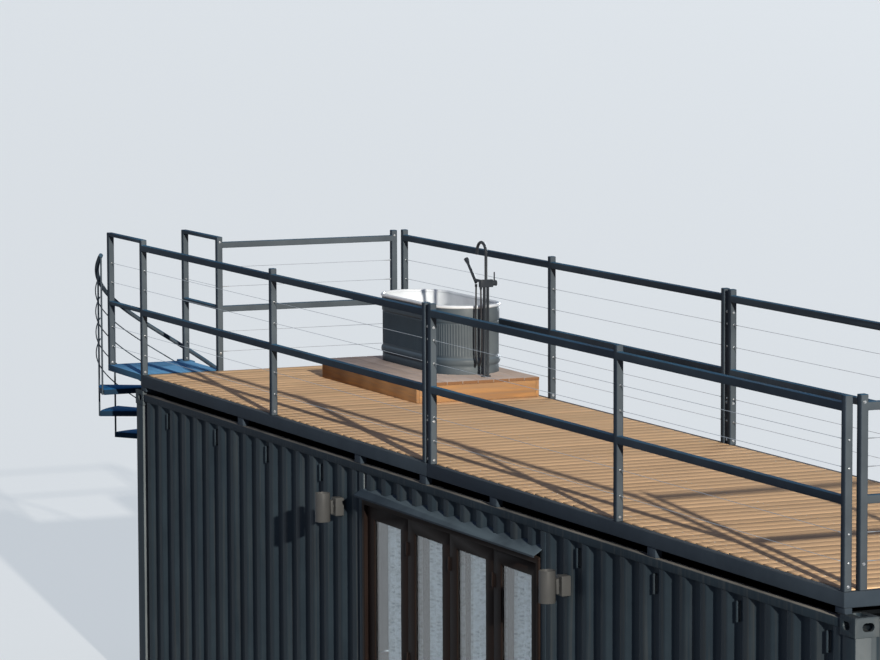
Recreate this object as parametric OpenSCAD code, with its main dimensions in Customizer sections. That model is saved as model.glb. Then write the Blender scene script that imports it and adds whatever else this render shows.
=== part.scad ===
// A cabin made from a forty foot shipping container, with a timber roof deck,
// a cable railing, a spiral stair at one end and a soaking tub on the deck.
// Millimetres, +Z up. The ground is z = 0, X runs along the container,
// and the glazed front faces -Y.

/* [Container] */
// Length of the container over its corner castings
con_l = 12192; // [9000:1:13700]
// Width of the container over its corner castings
con_w = 2438; // [2400:1:2600]
// Height of the container over its corner castings
con_h = 2591; // [2500:1:2900]
// Length of a corner casting, along X
cast_l = 178; // [178:1:190]
// Width of a corner casting, along Y
cast_w = 162; // [150:1:170]
// Height of a corner casting
cast_h = 118; // [110:1:125]
// Wall of a corner casting
cast_t = 28; // [20:1:30]
// Length of the top and bottom slots of a casting
slot_l = 124.5; // [110:0.5:125]
// Width of the top and bottom slots of a casting
slot_w = 63.5; // [50:0.5:64]
// Inset of the rails and posts behind the faces of the castings
frame_inset = 5; // [3:1:8]
// Side of the square top rails
top_rail = 60; // [50:1:80]
// Drop of the top rails below the castings
top_drop = 25; // [10:1:30]
// Height of the bottom side rails
sill_h = 158; // [140:1:170]
// Flange width of the bottom side rails
sill_flange = 48; // [40:1:60]
// Thickness of the bottom rail steel
sill_t = 5; // [4:0.5:8]
// Gap between the ground and the bottom rails
sill_gap = 20; // [12:1:30]
// Face of a corner post along X
post_face = 150; // [120:1:170]
// Side of a corner post along Y
post_side = 110; // [80:1:150]
// Thickness of the corner post steel
post_t = 6; // [4:0.5:10]

/* [Walls, roof and floor] */
// Pitch of the wall corrugation
wave_pitch = 278; // [240:1:320]
// Width of an outer flat of the wall corrugation
wave_out = 72; // [50:1:90]
// Width of an inner flat of the wall corrugation
wave_in = 70; // [50:1:90]
// Depth of the wall corrugation
wave_depth = 36; // [20:1:40]
// Thickness of the wall sheet
wall_t = 2; // [1.5:0.5:4]
// Inset of the wall crests behind the faces of the castings
wall_inset = 8; // [6:1:12]
// Start of the first outer flat, measured from the stair end
wave_start = 256; // [200:1:300]
// Pitch of the roof corrugation
roof_pitch = 209; // [180:1:240]
// Depth of the roof corrugation
roof_depth = 20; // [10:1:30]
// Pitch of the floor cross members
joist_pitch = 305; // [280:1:400]
// Depth of a floor cross member
joist_h = 122; // [100:1:130]
// Flange width of a floor cross member
joist_w = 45; // [35:1:60]
// Thickness of the floor boards
floor_t = 28; // [20:1:35]
// Height of a lashing bar
lash_h = 130; // [100:1:160]
// Diameter of a lashing bar
lash_d = 22; // [12:1:26]
// Drop of a lashing bar below the top rail
lash_drop = 45; // [30:1:80]
// Corrugations from one lashing bar to the next
lash_step = 4; // [3:1:6]

/* [Glazed doors] */
// Width of the glazed unit over its frame
unit_w = 3040; // [2400:1:3600]
// Middle of the glazed unit, measured from the middle of the container
unit_x = 350; // [0:1:600]
// Top of the glazed unit, measured down from the castings' top
unit_drop = 268; // [250:1:500]
// Face width of the unit's frame
unit_face = 45; // [35:1:70]
// Depth of the unit's frame
unit_depth = 100; // [80:1:120]
// How far the unit's frame stands out from the castings' face
unit_proud = 8; // [0:1:20]
// Number of folding leaves
leaves = 4; // [2:1:6]
// Width of a leaf's stiles
stile = 125; // [60:1:140]
// Height of a leaf's top rail
leaf_head = 95; // [60:1:140]
// Height of a leaf's bottom rail
leaf_foot = 150; // [100:1:220]
// Thickness of a leaf
leaf_t = 45; // [35:1:60]
// Gap round each leaf
leaf_gap = 4; // [2:1:8]
// Lip that holds the glass, seen from the front
glass_lip = 12; // [8:1:20]
// Thickness of the glass units
glass_t = 20; // [10:1:24]
// Width of the steel posts beside the unit
jamb_w = 80; // [60:1:100]
// Depth of the steel posts beside the unit
jamb_d = 50; // [40:1:60]
// Projection of the flashing in front of the castings' face
flash_out = 60; // [30:1:120]
// Fall of the flashing from the wall to its front edge
flash_fall = 62; // [30:1:70]
// Height of the flashing's back edge above the unit
flash_rise = 83; // [75:1:140]
// Thickness of the flashing
flash_t = 4; // [3:1:6]
// Front lip of the flashing
flash_lip = 14; // [8:1:25]
// Side overlap of the flashing past the unit
flash_side = 30; // [5:1:75]
// Fullness of the curtains, front to back
curtain_d = 60; // [40:1:90]
// Share of each leaf's width that a drawn curtain covers
curtain_share = 0.87; // [0.5:0.01:0.92]

/* [Wall lamps] */
// Diameter of a lamp's barrel
lamp_d = 112; // [80:1:130]
// Height of a lamp's barrel
lamp_h = 216; // [180:1:320]
// Distance of the barrel's axis from the castings' face
lamp_out = 145; // [120:1:200]
// Height of a lamp's middle above the ground
lamp_z = 2203; // [1700:1:2230]
// Distance of a lamp beyond the side of the unit
lamp_side = 422; // [250:1:500]
// Width of a lamp's wall box
lamp_box_w = 95; // [70:1:110]
// Height of a lamp's wall box
lamp_box_h = 135; // [100:1:180]
// Depth of a lamp's wall box
lamp_box_d = 68; // [50:1:80]

/* [Roof deck] */
// Height of the short posts between the container and the deck
stub_h = 62; // [50:1:120]
// Length of the short posts, along X
stub_l = 115; // [60:1:150]
// Depth of the short posts, along Y
stub_d = 50; // [40:1:55]
// Distance from one short post to the next, along X
stub_pitch = 1195; // [900:1:1300]
// Offset of the middle short post from the middle of the deck
stub_shift = -80; // [-200:1:200]
// Height of the deck beams
beam_h = 95; // [80:1:150]
// Width of the deck beams
beam_w = 50; // [40:1:60]
// Thickness of the deck boards
board_t = 25; // [20:1:40]
// Height of the boards' top above the deck beams
board_lift = 6; // [0:1:15]
// Gap between the boards and the deck beams round them
board_gap = 3; // [1:0.5:6]
// Inset of the deck's ends behind the container's ends
deck_inset = 127.5; // [60:0.5:900]
// Gap between two railing modules
module_gap = 53; // [20:1:80]

/* [Railing] */
// Side of the square railing tubes
tube = 50; // [40:1:60]
// Height of a railing post above the deck beam
rail_h = 1142; // [900:1:1200]
// Drop of the top rail below the tops of the posts
rail_drop = 45; // [0:1:60]
// Height of the mid rail's top above the deck beam
mid_h = 555; // [450:1:650]
// Cables between two rails
cables = 2; // [1:1:4]
// Diameter of a cable
cable_d = 3.2; // [2.6:0.1:6]

/* [Landing] */
// Length of the landing from the deck's end
landing_l = 822; // [760:1:1000]
// Width of the landing
landing_w = 729; // [690:1:800]
// Distance of the stair column's axis beyond the landing
column_out = 80; // [52:1:100]
// Distance of the stair column's axis inside the landing's back edge
column_in = 10; // [0:1:40]
// Thickness of the landing's plate
plate_t = 8; // [5:1:12]
// Depth of the landing's edge frame
skirt_h = 45; // [35:1:60]
// Thickness of the landing's edge frame
skirt_t = 6; // [4:1:10]
// Height of the landing's rails
guard_rail = 30; // [20:1:50]
// Side of the column's base plate on the ground
foot_w = 180; // [140:1:240]
// Thickness of a base plate
foot_t = 10; // [8:1:16]

/* [Spiral stair] */
// Number of risers from the ground to the deck
risers = 12; // [11:1:14]
// Turn of one tread in degrees
tread_turn = 27.5; // [25:0.5:28]
// Diameter of the column
column_d = 89; // [76:1:114]
// Radius of the handrail's centre line
guard_r = 740; // [680:1:745]
// Diameter of the handrail
hand_d = 38; // [30:1:45]
// Height of the handrail above the tread line
hand_h = 934; // [850:1:1000]
// Diameter of a baluster
baluster_d = 16; // [12:1:22]
// Diameter of a line rail
line_d = 10; // [8:1:14]
// Number of line rails under the handrail
lines = 4; // [2:1:5]
// Drop from one line rail to the next
line_drop = 180; // [150:1:185]
// Depth of a tread pan
pan_h = 45; // [35:1:60]
// Thickness of the tread steel
pan_t = 5; // [4:0.5:8]
// Overlap of neighbouring treads in degrees
pan_lap = 2; // [0:0.5:3]
// Radius of a tread's hub beyond the column
hub_t = 12; // [8:1:20]

/* [Tub] */
// Length of the tub
tub_l = 1530; // [1200:1:1700]
// Width of the tub
tub_w = 610; // [500:1:750]
// Height of the tub
tub_h = 560; // [450:1:650]
// Distance of the tub's middle from the deck's stair end
tub_in = 1728.5; // [1500:0.5:3000]
// Middle of the tub from the container's middle, along Y
tub_y = 770; // [600:1:800]
// Thickness of the tub's wall and of its lining, each
tub_t = 5; // [4.5:0.5:6]
// Diameter of the rolled rim
rim_d = 28; // [20:1:40]
// Height of the middle of the tub's bead
bead_z = 100; // [60:1:140]
// Height of the bead
bead_h = 60; // [30:1:70]
// Depth of the bead
bead_out = 11; // [5:1:13]
// Number of upright flutes round the tub
flutes = 156; // [100:2:170]
// Depth of a flute
flute_d = 3; // [1:0.5:3]
// Inset of the flutes behind the plain parts of the shell
flute_in = 1; // [0.5:0.1:1.2]
// Foot of the flutes
flute_low = 150; // [140:1:180]
// Foot of the plain upper band
band_z = 412; // [380:1:440]
// Depth of the upper band
band_out = 4; // [2:1:8]
// Margin of the plinth at the stair end of the tub
plinth_margin = 95; // [40:1:300]
// Margin of the plinth beyond the filler
filler_margin = 200; // [80:1:400]
// Width of the plinth
plinth_w = 1080; // [900:1:1085]
// Height of the plinth
plinth_h = 159; // [100:1:220]
// Thickness of the plinth's boards
plinth_t = 25; // [18:1:40]
// Front of the plinth from the container's middle
plinth_y = 70; // [0:1:120]

/* [Tub filler] */
// Height of the filler's spout above the plinth
filler_h = 1085; // [900:1:1200]
// Distance of the filler from the tub's rim
filler_gap = 145; // [140:1:180]
// Diameter of the filler's pipes
pipe_d = 24; // [18:1:30]
// Distance between the two supply legs
leg_gap = 30; // [26:1:60]
// Height of the mixing valve above the plinth
valve_h = 750; // [700:1:850]
// Diameter of the shower hose
hose_d = 14; // [10:1:18]

/* [Hidden] */
$fn = 48;

paint = [0.13, 0.15, 0.17];
rust_brown = [0.23, 0.15, 0.12];
timber = [0.62, 0.44, 0.30];
weathered = [0.42, 0.34, 0.29];

// Outer faces of the container, seen from its middle
end_x = con_l / 2;
face_y = con_w / 2;
seat = 0.3;

// Levels above the ground
sill_top = sill_gap + sill_h;
floor_z = sill_top - floor_t - 2;
rail_top_z = con_h - top_drop;
rail_low_z = rail_top_z - top_rail;
beam_z = rail_top_z + stub_h;
deck_z = beam_z + beam_h;
board_z = deck_z + board_lift;
unit_z = con_h - unit_drop;

// The origin lies in the middle of the whole footprint, at ground level
stair_reach = landing_l + column_out + guard_r + hand_d / 2 - deck_inset;
front_reach = lamp_out + lamp_d / 2;
mid_x = stair_reach / 2;
mid_y = front_reach / 2;

// Glazed unit
unit_x0 = unit_x - unit_w / 2;
unit_x1 = unit_x + unit_w / 2;
unit_y = -face_y - unit_proud;
leaf_pitch = (unit_w - 2 * unit_face) / leaves;
leaf_w = leaf_pitch - leaf_gap;
leaf_h = unit_z - sill_top - 2 * unit_face - leaf_gap - seat;
leaf_y = unit_y + (unit_depth - leaf_t) / 2;
leaf_z = sill_top + unit_face + seat;
pane_w = leaf_w - 2 * stile;
pane_h = leaf_h - leaf_head - leaf_foot;

// Corrugation
wave_slope = (wave_pitch - wave_out - wave_in) / 2;
crest_x = -end_x + wave_start;
crest_y = -face_y + wall_inset;
wall_z = sill_top;
wall_h = rail_low_z - sill_top;

// Railing
module_x = module_gap / 2;
deck_end = end_x - deck_inset;
module_l = deck_end - module_x;
post_bay = (module_l - tube) / 2;
top_z = deck_z + rail_h - rail_drop - tube;
mid_z = deck_z + mid_h - tube;
low_gap = mid_h - tube;
high_gap = rail_h - rail_drop - tube - mid_h;
end_reach = face_y - tube - module_gap;
cable_levels = [
    for (k = [1:cables]) deck_z + low_gap * k / (cables + 1),
    for (k = [1:cables]) deck_z + mid_h + high_gap * k / (cables + 1)
];

// Landing and stair
landing_x0 = -deck_end - landing_l;
landing_y0 = -face_y;
landing_y1 = landing_y0 + landing_w;
column_x = landing_x0 - column_out;
column_y = landing_y1 - column_in;
column_r = column_d / 2;
skirt_z = board_z - plate_t - skirt_h;
end_post_y = landing_y1 - tube;
rise = board_z / risers;
treads = risers - 1;
tread_r = guard_r - baluster_d / 2;
hub_r = column_r + hub_t;
first_angle = 269;
line_r = guard_r + baluster_d / 2 + line_d / 2 + 0.2;

// Tub and filler
tub_x = -deck_end + tub_in;
plinth_z = board_z + plinth_h;
plinth_x = tub_x - tub_l / 2 - plinth_margin;
plinth_l = tub_l + plinth_margin + filler_gap + filler_margin;
tub_floor = 40;
filler_x = tub_x + tub_l / 2 + filler_gap;
valve_z = plinth_z + valve_h;
neck_r = 85;

module placed() {
    translate([mid_x, mid_y, 0])
        children();
}

// Repeats a shape, drawn from a corner inwards, at the four corners
module at_corners(z) {
    for (sx = [0, 1], sy = [0, 1])
        mirror([sx, 0, 0])
            mirror([0, sy, 0])
                translate([-end_x, -face_y, z])
                    children();
}

// A bar along X that keeps a profile drawn in Y and Z
module along_x(from, to) {
    translate([from, 0, 0])
        rotate([90, 0, 90])
            linear_extrude(to - from)
                children();
}

// Points of a corrugated line that holds a stretch
function wave_line(from, to, start, pitch, out, in, depth) =
    let (
        slope = (pitch - out - in) / 2,
        first = floor((from - start) / pitch) - 1,
        last = ceil((to - start) / pitch)
    )
    [for (k = [first:last]) let (x = start + k * pitch) each [
        [x, 0],
        [x + out, 0],
        [x + out + slope, depth],
        [x + out + slope + in, depth]
    ]];

function raised(line, by) = [for (i = [len(line) - 1:-1:0]) line[i] + [0, by]];

// A corrugated sheet along X, with its crests on y = 0 and its hollows towards +Y
module corrugated(from, to, start, height) {
    line = wave_line(from, to, start, wave_pitch, wave_out, wave_in, wave_depth);
    intersection() {
        linear_extrude(height)
            polygon(concat(line, raised(line, wall_t)));
        translate([from, -1, 0])
            cube([to - from, wave_depth + wall_t + 2, height]);
    }
}

// A flat slot with round ends, along X
module slot(length, width, depth) {
    reach = (length - width) / 2;
    for (side = [-1, 1])
        translate([side * reach, 0, 0])
            cylinder(d = width, h = depth);
    translate([-reach, -width / 2, 0])
        cube([2 * reach, width, depth]);
}

// An outline with two straight sides and two round ends
module oval(length, width) {
    for (side = [-1, 1])
        translate([side * (length - width) / 2, 0])
            circle(d = width, $fn = 96);
    square([length - width, width], center = true);
}

module base_frame() {
    rail_x = end_x - cast_l;
    inner_y = face_y - frame_inset - sill_t;
    count = floor((2 * rail_x - 2 * joist_w) / joist_pitch);
    joist_z = floor_z - joist_h;
    color(paint) placed() {
        for (side = [0, 1])
            mirror([0, side, 0])
                along_x(-rail_x, rail_x)
                    translate([-face_y + frame_inset, sill_gap])
                        polygon([
                            [0, 0], [sill_flange, 0], [sill_flange, sill_t], [sill_t, sill_t],
                            [sill_t, sill_h - sill_t], [sill_flange, sill_h - sill_t],
                            [sill_flange, sill_h], [0, sill_h]
                        ]);
        for (side = [0, 1])
            mirror([side, 0, 0])
                translate([-end_x + frame_inset, -face_y + cast_w, sill_gap])
                    cube([top_rail, con_w - 2 * cast_w, sill_h]);
        for (k = [0:count])
            translate([(k - count / 2) * joist_pitch - joist_w / 2, inner_y, joist_z])
                rotate([90, 0, 0])
                    linear_extrude(2 * inner_y)
                        polygon([
                            [0, 0], [joist_w, 0], [joist_w, sill_t], [sill_t, sill_t],
                            [sill_t, joist_h - sill_t], [joist_w, joist_h - sill_t],
                            [joist_w, joist_h], [0, joist_h]
                        ]);
    }
}

module floor_boards() {
    floor_y = face_y - frame_inset - sill_flange - seat;
    floor_x = end_x - frame_inset - top_rail - seat;
    corner_x = end_x - post_face - frame_inset - seat;
    corner_y = face_y - post_side - frame_inset - seat;
    color("peru") placed()
        translate([0, 0, floor_z]) {
            translate([-corner_x, -floor_y, 0])
                cube([2 * corner_x, 2 * floor_y, floor_t]);
            translate([-floor_x, -corner_y, 0])
                cube([2 * floor_x, 2 * corner_y, floor_t]);
        }
}

module corner_posts() {
    color(paint) placed()
        at_corners(cast_h)
            translate([frame_inset, frame_inset, 0])
                linear_extrude(con_h - 2 * cast_h)
                    polygon([
                        [0, 0], [post_face, 0], [post_face, 40], [post_face - post_t, 40],
                        [post_face - post_t, post_t], [post_t, post_t],
                        [post_t, post_side - post_t], [40, post_side - post_t],
                        [40, post_side], [0, post_side]
                    ]);
}

module corner_casting() {
    slot_x = 103.5;
    slot_y = 89.5;
    side_l = 79.5;
    side_w = 51;
    difference() {
        cube([cast_l, cast_w, cast_h]);
        translate([cast_t, cast_t, cast_t])
            cube([cast_l - 2 * cast_t, cast_w - 2 * cast_t, cast_h - 2 * cast_t]);
        translate([slot_x, slot_y, -1])
            slot(slot_l, slot_w, cast_t + 2);
        translate([slot_x, cast_t + 1, cast_h / 2])
            rotate([90, 0, 0])
                slot(side_l, side_w, cast_t + 2);
        translate([-1, slot_y, cast_h / 2])
            rotate([0, 90, 0])
                rotate([0, 0, 90])
                    slot(side_l, side_w, cast_t + 2);
    }
}

module corner_castings() {
    color(paint) placed() {
        at_corners(0)
            corner_casting();
        at_corners(con_h)
            mirror([0, 0, 1])
                corner_casting();
    }
}

module top_rails() {
    color(paint) placed() {
        for (side = [0, 1])
            mirror([0, side, 0])
                translate([-end_x + cast_l, -face_y + frame_inset, rail_low_z])
                    cube([con_l - 2 * cast_l, top_rail, top_rail]);
        for (side = [0, 1])
            mirror([side, 0, 0])
                translate([-end_x + frame_inset, -face_y + cast_w, rail_low_z])
                    cube([top_rail, con_w - 2 * cast_w, top_rail]);
    }
}

module roof_sheet() {
    roof_x = end_x - cast_l;
    roof_y = face_y - frame_inset - top_rail - seat;
    flat = roof_pitch * 0.42;
    line = wave_line(-roof_x, roof_x, 0, roof_pitch, flat, flat, -roof_depth);
    color(paint) placed()
        translate([0, roof_y, rail_top_z - wall_t - 6])
            rotate([90, 0, 0])
                intersection() {
                    linear_extrude(2 * roof_y)
                        polygon(concat(line, raised(line, wall_t)));
                    translate([-roof_x, -roof_depth - 1, 0])
                        cube([2 * roof_x, roof_depth + wall_t + 2, 2 * roof_y]);
                }
}

module front_sheet(from, to, z, height) {
    color(paint) placed()
        translate([0, crest_y, z])
            corrugated(from, to, crest_x, height);
}

module front_wall_left() {
    front_sheet(-end_x + frame_inset + post_face, unit_x0 - jamb_w, wall_z, wall_h);
}

module front_wall_right() {
    front_sheet(unit_x1 + jamb_w, end_x - frame_inset - post_face, wall_z, wall_h);
}

module front_wall_over_door() {
    front_sheet(unit_x0, unit_x1, unit_z, rail_low_z - unit_z);
}

module back_wall() {
    wall_x = end_x - frame_inset - post_face;
    color(paint) placed()
        mirror([0, 1, 0])
            translate([0, crest_y, wall_z])
                corrugated(-wall_x, wall_x, crest_x, wall_h);
}

module end_sheet() {
    reach = face_y - frame_inset - post_side;
    translate([-end_x + wall_inset, 0, wall_z])
        rotate([0, 0, -90])
            corrugated(-reach, reach, -wave_out / 2, wall_h);
}

module end_walls() {
    color(paint) placed()
        for (side = [0, 1])
            mirror([side, 0, 0])
                end_sheet();
}

// A round bar that stands off the bottom of a hollow in the wall
module lashing_bar(x) {
    hollow_y = crest_y + wave_depth;
    stand = lash_d / 2 + 6;
    low = rail_low_z - lash_drop - lash_h;
    translate([x, hollow_y - stand, low])
        cylinder(d = lash_d, h = lash_h, $fn = 24);
    for (z = [0, lash_h - lash_d / 2])
        translate([x - lash_d / 4, hollow_y - stand, low + z])
            cube([lash_d / 2, stand, lash_d / 2]);
}

module lashing_bars() {
    hollow = crest_x + wave_out + wave_slope + wave_in / 2;
    last = floor((end_x - post_face - hollow) / wave_pitch);
    color(paint) placed() {
        for (k = [1:lash_step:last]) {
            x = hollow + k * wave_pitch;
            if (x < unit_x0 - jamb_w - wave_in || x > unit_x1 + jamb_w + wave_in)
                lashing_bar(x);
            mirror([0, 1, 0])
                lashing_bar(x);
        }
    }
}

module door_posts() {
    post_y = -face_y + frame_inset;
    header_y = crest_y + wave_depth + wall_t;
    color(paint) placed() {
        for (x = [unit_x0 - jamb_w, unit_x1])
            translate([x, post_y, sill_top])
                cube([jamb_w, header_y + jamb_d - post_y, wall_h]);
        translate([unit_x0, header_y, unit_z])
            cube([unit_w, jamb_d, jamb_d]);
    }
}

module door_frame() {
    color(rust_brown) placed()
        difference() {
            translate([unit_x0, unit_y, sill_top])
                cube([unit_w, unit_depth, unit_z - sill_top]);
            translate([unit_x0 + unit_face, unit_y - 1, sill_top + unit_face])
                cube([unit_w - 2 * unit_face, unit_depth + 2, unit_z - sill_top - 2 * unit_face]);
        }
}

function leaf_x(k) = unit_x0 + unit_face + (k - 1) * leaf_pitch + leaf_gap / 2;

// One glazed leaf, with a lip in front of the glass and a rebate behind it
module door_leaf(k) {
    color(rust_brown) placed()
        translate([leaf_x(k), leaf_y, leaf_z])
            difference() {
                cube([leaf_w, leaf_t, leaf_h]);
                translate([stile, -1, leaf_foot])
                    cube([pane_w, leaf_t + 2, pane_h]);
                translate([stile - glass_lip, glass_lip, leaf_foot - glass_lip])
                    cube([pane_w + 2 * glass_lip, leaf_t, pane_h + 2 * glass_lip]);
            }
}

module door_leaf_1() {
    door_leaf(1);
}

module door_leaf_2() {
    door_leaf(2);
}

module door_leaf_3() {
    door_leaf(3);
}

module door_leaf_4() {
    door_leaf(4);
}

module door_glass() {
    color("lightblue", 0.4) placed()
        for (k = [1:leaves])
            translate([leaf_x(k) + stile - glass_lip, leaf_y + glass_lip, leaf_z + leaf_foot - glass_lip])
                cube([pane_w + 2 * glass_lip, glass_t, pane_h + 2 * glass_lip]);
}

// A sloped drip sheet over the doors, cut to the corrugation behind it
module door_flashing() {
    back_y = crest_y + wave_depth;
    front_y = -face_y - flash_out;
    high = unit_z + flash_rise;
    low = high - flash_fall;
    from = unit_x0 - flash_side;
    to = unit_x1 + flash_side;
    line = wave_line(from, to, crest_x, wave_pitch, wave_out, wave_in, wave_depth);
    color(paint) placed()
        difference() {
            along_x(from, to)
                polygon([
                    [front_y, low - flash_lip], [front_y + flash_t, low - flash_lip],
                    [front_y + flash_t, low - flash_t], [back_y, high - flash_t],
                    [back_y, high], [front_y, low]
                ]);
            translate([0, crest_y - seat, low - 1])
                linear_extrude(high - low + 2)
                    polygon(concat(line, raised(line, 2 * wave_depth)));
            for (x = [from - 1, unit_x1 - seat])
                translate([x, -face_y + frame_inset - seat, low - 1])
                    cube([flash_side + 1 + seat, 2 * jamb_d, high - low + 2]);
        }
}

track_d = 24;
track_y = unit_y + unit_depth + curtain_d;

module curtain_track() {
    color("gainsboro") placed()
        union() {
            translate([unit_x0, track_y - track_d / 2, unit_z - unit_face])
                cube([unit_w, track_d, track_d]);
            for (x = [unit_x0 + track_d, unit_x - track_d / 2, unit_x1 - 2 * track_d])
                translate([x, unit_y + unit_depth, unit_z - unit_face])
                    cube([track_d, track_y - unit_y - unit_depth, track_d / 2]);
        }
}

module curtains() {
    width = leaf_w * curtain_share;
    color("whitesmoke") placed()
        for (k = [1:leaves])
            translate([leaf_x(k) + leaf_w - width, track_y - curtain_d / 2, sill_top + unit_face])
                cube([width, curtain_d, unit_z - sill_top - 2 * unit_face - seat]);
}

module wall_lamps() {
    reach = lamp_out + wall_inset;
    pin = 12;
    color(paint) placed()
        for (x = [unit_x0 - lamp_side, unit_x1 + lamp_side])
            translate([x, -face_y - lamp_out, lamp_z]) {
                translate([0, 0, -lamp_h / 2])
                    cylinder(d = lamp_d, h = lamp_h);
                translate([-lamp_box_w / 2, reach - lamp_box_d, -lamp_box_h / 2])
                    cube([lamp_box_w, lamp_box_d, lamp_box_h]);
                translate([-lamp_box_w * 0.35, 0, -lamp_box_h * 0.38])
                    cube([lamp_box_w * 0.7, reach - lamp_box_d - pin, lamp_box_h * 0.76]);
                rotate([-90, 0, 0])
                    cylinder(d = 1.6 * pin, h = reach - lamp_box_d + 1);
            }
}

module deck_stubs() {
    color(paint) placed()
        for (side = [0, 1])
            mirror([0, side, 0])
                translate([-stub_l / 2, -face_y + frame_inset, 0]) {
                    for (k = [-3, -1, 0, 1, 3])
                        translate([stub_shift + k * stub_pitch, 0, rail_top_z])
                            cube([stub_l, stub_d, stub_h]);
                    for (x = [-1, 1])
                        translate([x * (deck_end - stub_l / 2), 0, con_h])
                            cube([stub_l, stub_d, beam_z - con_h]);
                }
}

module deck_frame() {
    inner_y = face_y - beam_w;
    joist_top = board_z - board_t - beam_z;
    bay = (module_l - 2 * beam_w) / 5;
    color(paint) placed()
        for (side = [0, 1])
            mirror([side, 0, 0])
                translate([0, 0, beam_z]) {
                    for (y = [-face_y, inner_y])
                        translate([1, y, 0])
                            cube([deck_end - 1, beam_w, beam_h]);
                    translate([deck_end - beam_w, -inner_y, 0])
                        cube([beam_w, 2 * inner_y, beam_h]);
                    for (k = [0, 1, 3])
                        translate([module_x + k * bay, -inner_y, 0])
                            cube([beam_w, 2 * inner_y, joist_top]);
                    for (y = [-inner_y / 2, 0, inner_y / 2])
                        translate([module_x, y - beam_w / 2, 0])
                            cube([module_l - beam_w, beam_w, joist_top]);
                }
}

// The boards lie between the deck beams and rest on the joists
module deck_boards() {
    half_x = deck_end - beam_w - board_gap;
    half_y = face_y - beam_w - board_gap;
    color(timber) placed()
        translate([-half_x, -half_y, board_z - board_t])
            cube([2 * half_x, 2 * half_y, board_t]);
}

post_marks = [module_x, module_x + post_bay, deck_end - tube];

// One welded module of the side railing, drawn on the +X and -Y side
module side_rail() {
    color(paint) {
        for (x = post_marks)
            translate([x, -face_y, deck_z])
                cube([tube, tube, rail_h]);
        for (z = [top_z, mid_z])
            translate([module_x, -face_y, z])
                cube([module_l, tube, tube]);
    }
}

module front_rail_left() {
    placed()
        mirror([1, 0, 0])
            side_rail();
}

module front_rail_right() {
    placed()
        side_rail();
}

module back_rail_left() {
    placed()
        mirror([1, 0, 0])
            mirror([0, 1, 0])
                side_rail();
}

module back_rail_right() {
    placed()
        mirror([0, 1, 0])
            side_rail();
}

// The end rails are modules of their own and stop short of the side rails
module end_rail_left() {
    color(paint) placed()
        translate([-deck_end, 0, 0]) {
            for (y = [end_post_y, end_reach - tube])
                translate([0, y, deck_z])
                    cube([tube, tube, rail_h]);
            for (z = [top_z, mid_z])
                translate([0, end_post_y, z])
                    cube([tube, end_reach - end_post_y, tube]);
        }
}

module end_rail_right() {
    color(paint) placed()
        translate([deck_end - tube, 0, 0]) {
            for (y = [-end_reach, -tube / 2, end_reach - tube])
                translate([0, y, deck_z])
                    cube([tube, tube, rail_h]);
            for (z = [top_z, mid_z])
                translate([0, -end_reach, z])
                    cube([tube, 2 * end_reach, tube]);
        }
}

module cable_x(from, to, y) {
    for (z = cable_levels)
        translate([from, y, z])
            rotate([0, 90, 0])
                cylinder(d = cable_d, h = to - from, $fn = 16);
}

module cable_y(from, to, x) {
    for (z = cable_levels)
        translate([x, from, z])
            rotate([-90, 0, 0])
                cylinder(d = cable_d, h = to - from, $fn = 16);
}

module rail_cables() {
    line_y = face_y - tube / 2;
    inner_y = end_reach - tube;
    line_x = deck_end - tube / 2;
    color("silver") placed() {
        for (sx = [0, 1], sy = [0, 1], x = [module_x, module_x + post_bay])
            mirror([sx, 0, 0])
                mirror([0, sy, 0])
                    cable_x(x + tube, x + post_bay, -line_y);
        cable_y(end_post_y + tube, inner_y, -line_x);
        cable_y(tube / 2, inner_y, line_x);
        cable_y(-inner_y, -tube / 2, line_x);
        cable_x(landing_x0 + tube, -deck_end, landing_y0 + tube / 2);
        cable_x(landing_x0 + tube, -deck_end, end_post_y + tube / 2);
    }
}

// A plate on an edge frame, drawn from a corner
module framed_plate(length, width) {
    translate([0, 0, skirt_h])
        cube([length, width, plate_t]);
    difference() {
        cube([length, width, skirt_h]);
        translate([skirt_t, skirt_t, -1])
            cube([length - 2 * skirt_t, width - 2 * skirt_t, skirt_h + 2]);
    }
}

// The landing, with a tongue at its outer corner that sits on the column
module landing() {
    tongue_x = column_x - column_r;
    color(paint) placed() {
        translate([landing_x0, landing_y0, skirt_z])
            framed_plate(landing_l, landing_w);
        translate([tongue_x, column_y - column_r, skirt_z])
            framed_plate(landing_x0 + column_d - tongue_x, column_d);
    }
}

module landing_guards() {
    guard_top = deck_z + rail_h;
    color(paint) placed()
        for (y = [landing_y0, end_post_y]) {
            translate([landing_x0, y, board_z])
                cube([tube, tube, guard_top - board_z]);
            for (z = [guard_top, mid_z + tube])
                translate([landing_x0, y, z - guard_rail])
                    cube([landing_l, tube, guard_rail]);
        }
}

module stair_column() {
    color(paint) placed()
        translate([column_x, column_y, 0]) {
            translate([-foot_w / 2, -foot_w / 2, 0])
                cube([foot_w, foot_w, foot_t]);
            cylinder(d = column_d, h = skirt_z - seat);
        }
}

function ring_point(r, a) = [r * cos(a), r * sin(a)];

// Outline of a tread between two angles and two radii
function wedge(r0, r1, a0, a1) = concat(
    [for (i = [0:6]) ring_point(r1, a0 + (a1 - a0) * i / 6)],
    [ring_point(r0, a1), ring_point(r0, a0)]
);

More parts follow.
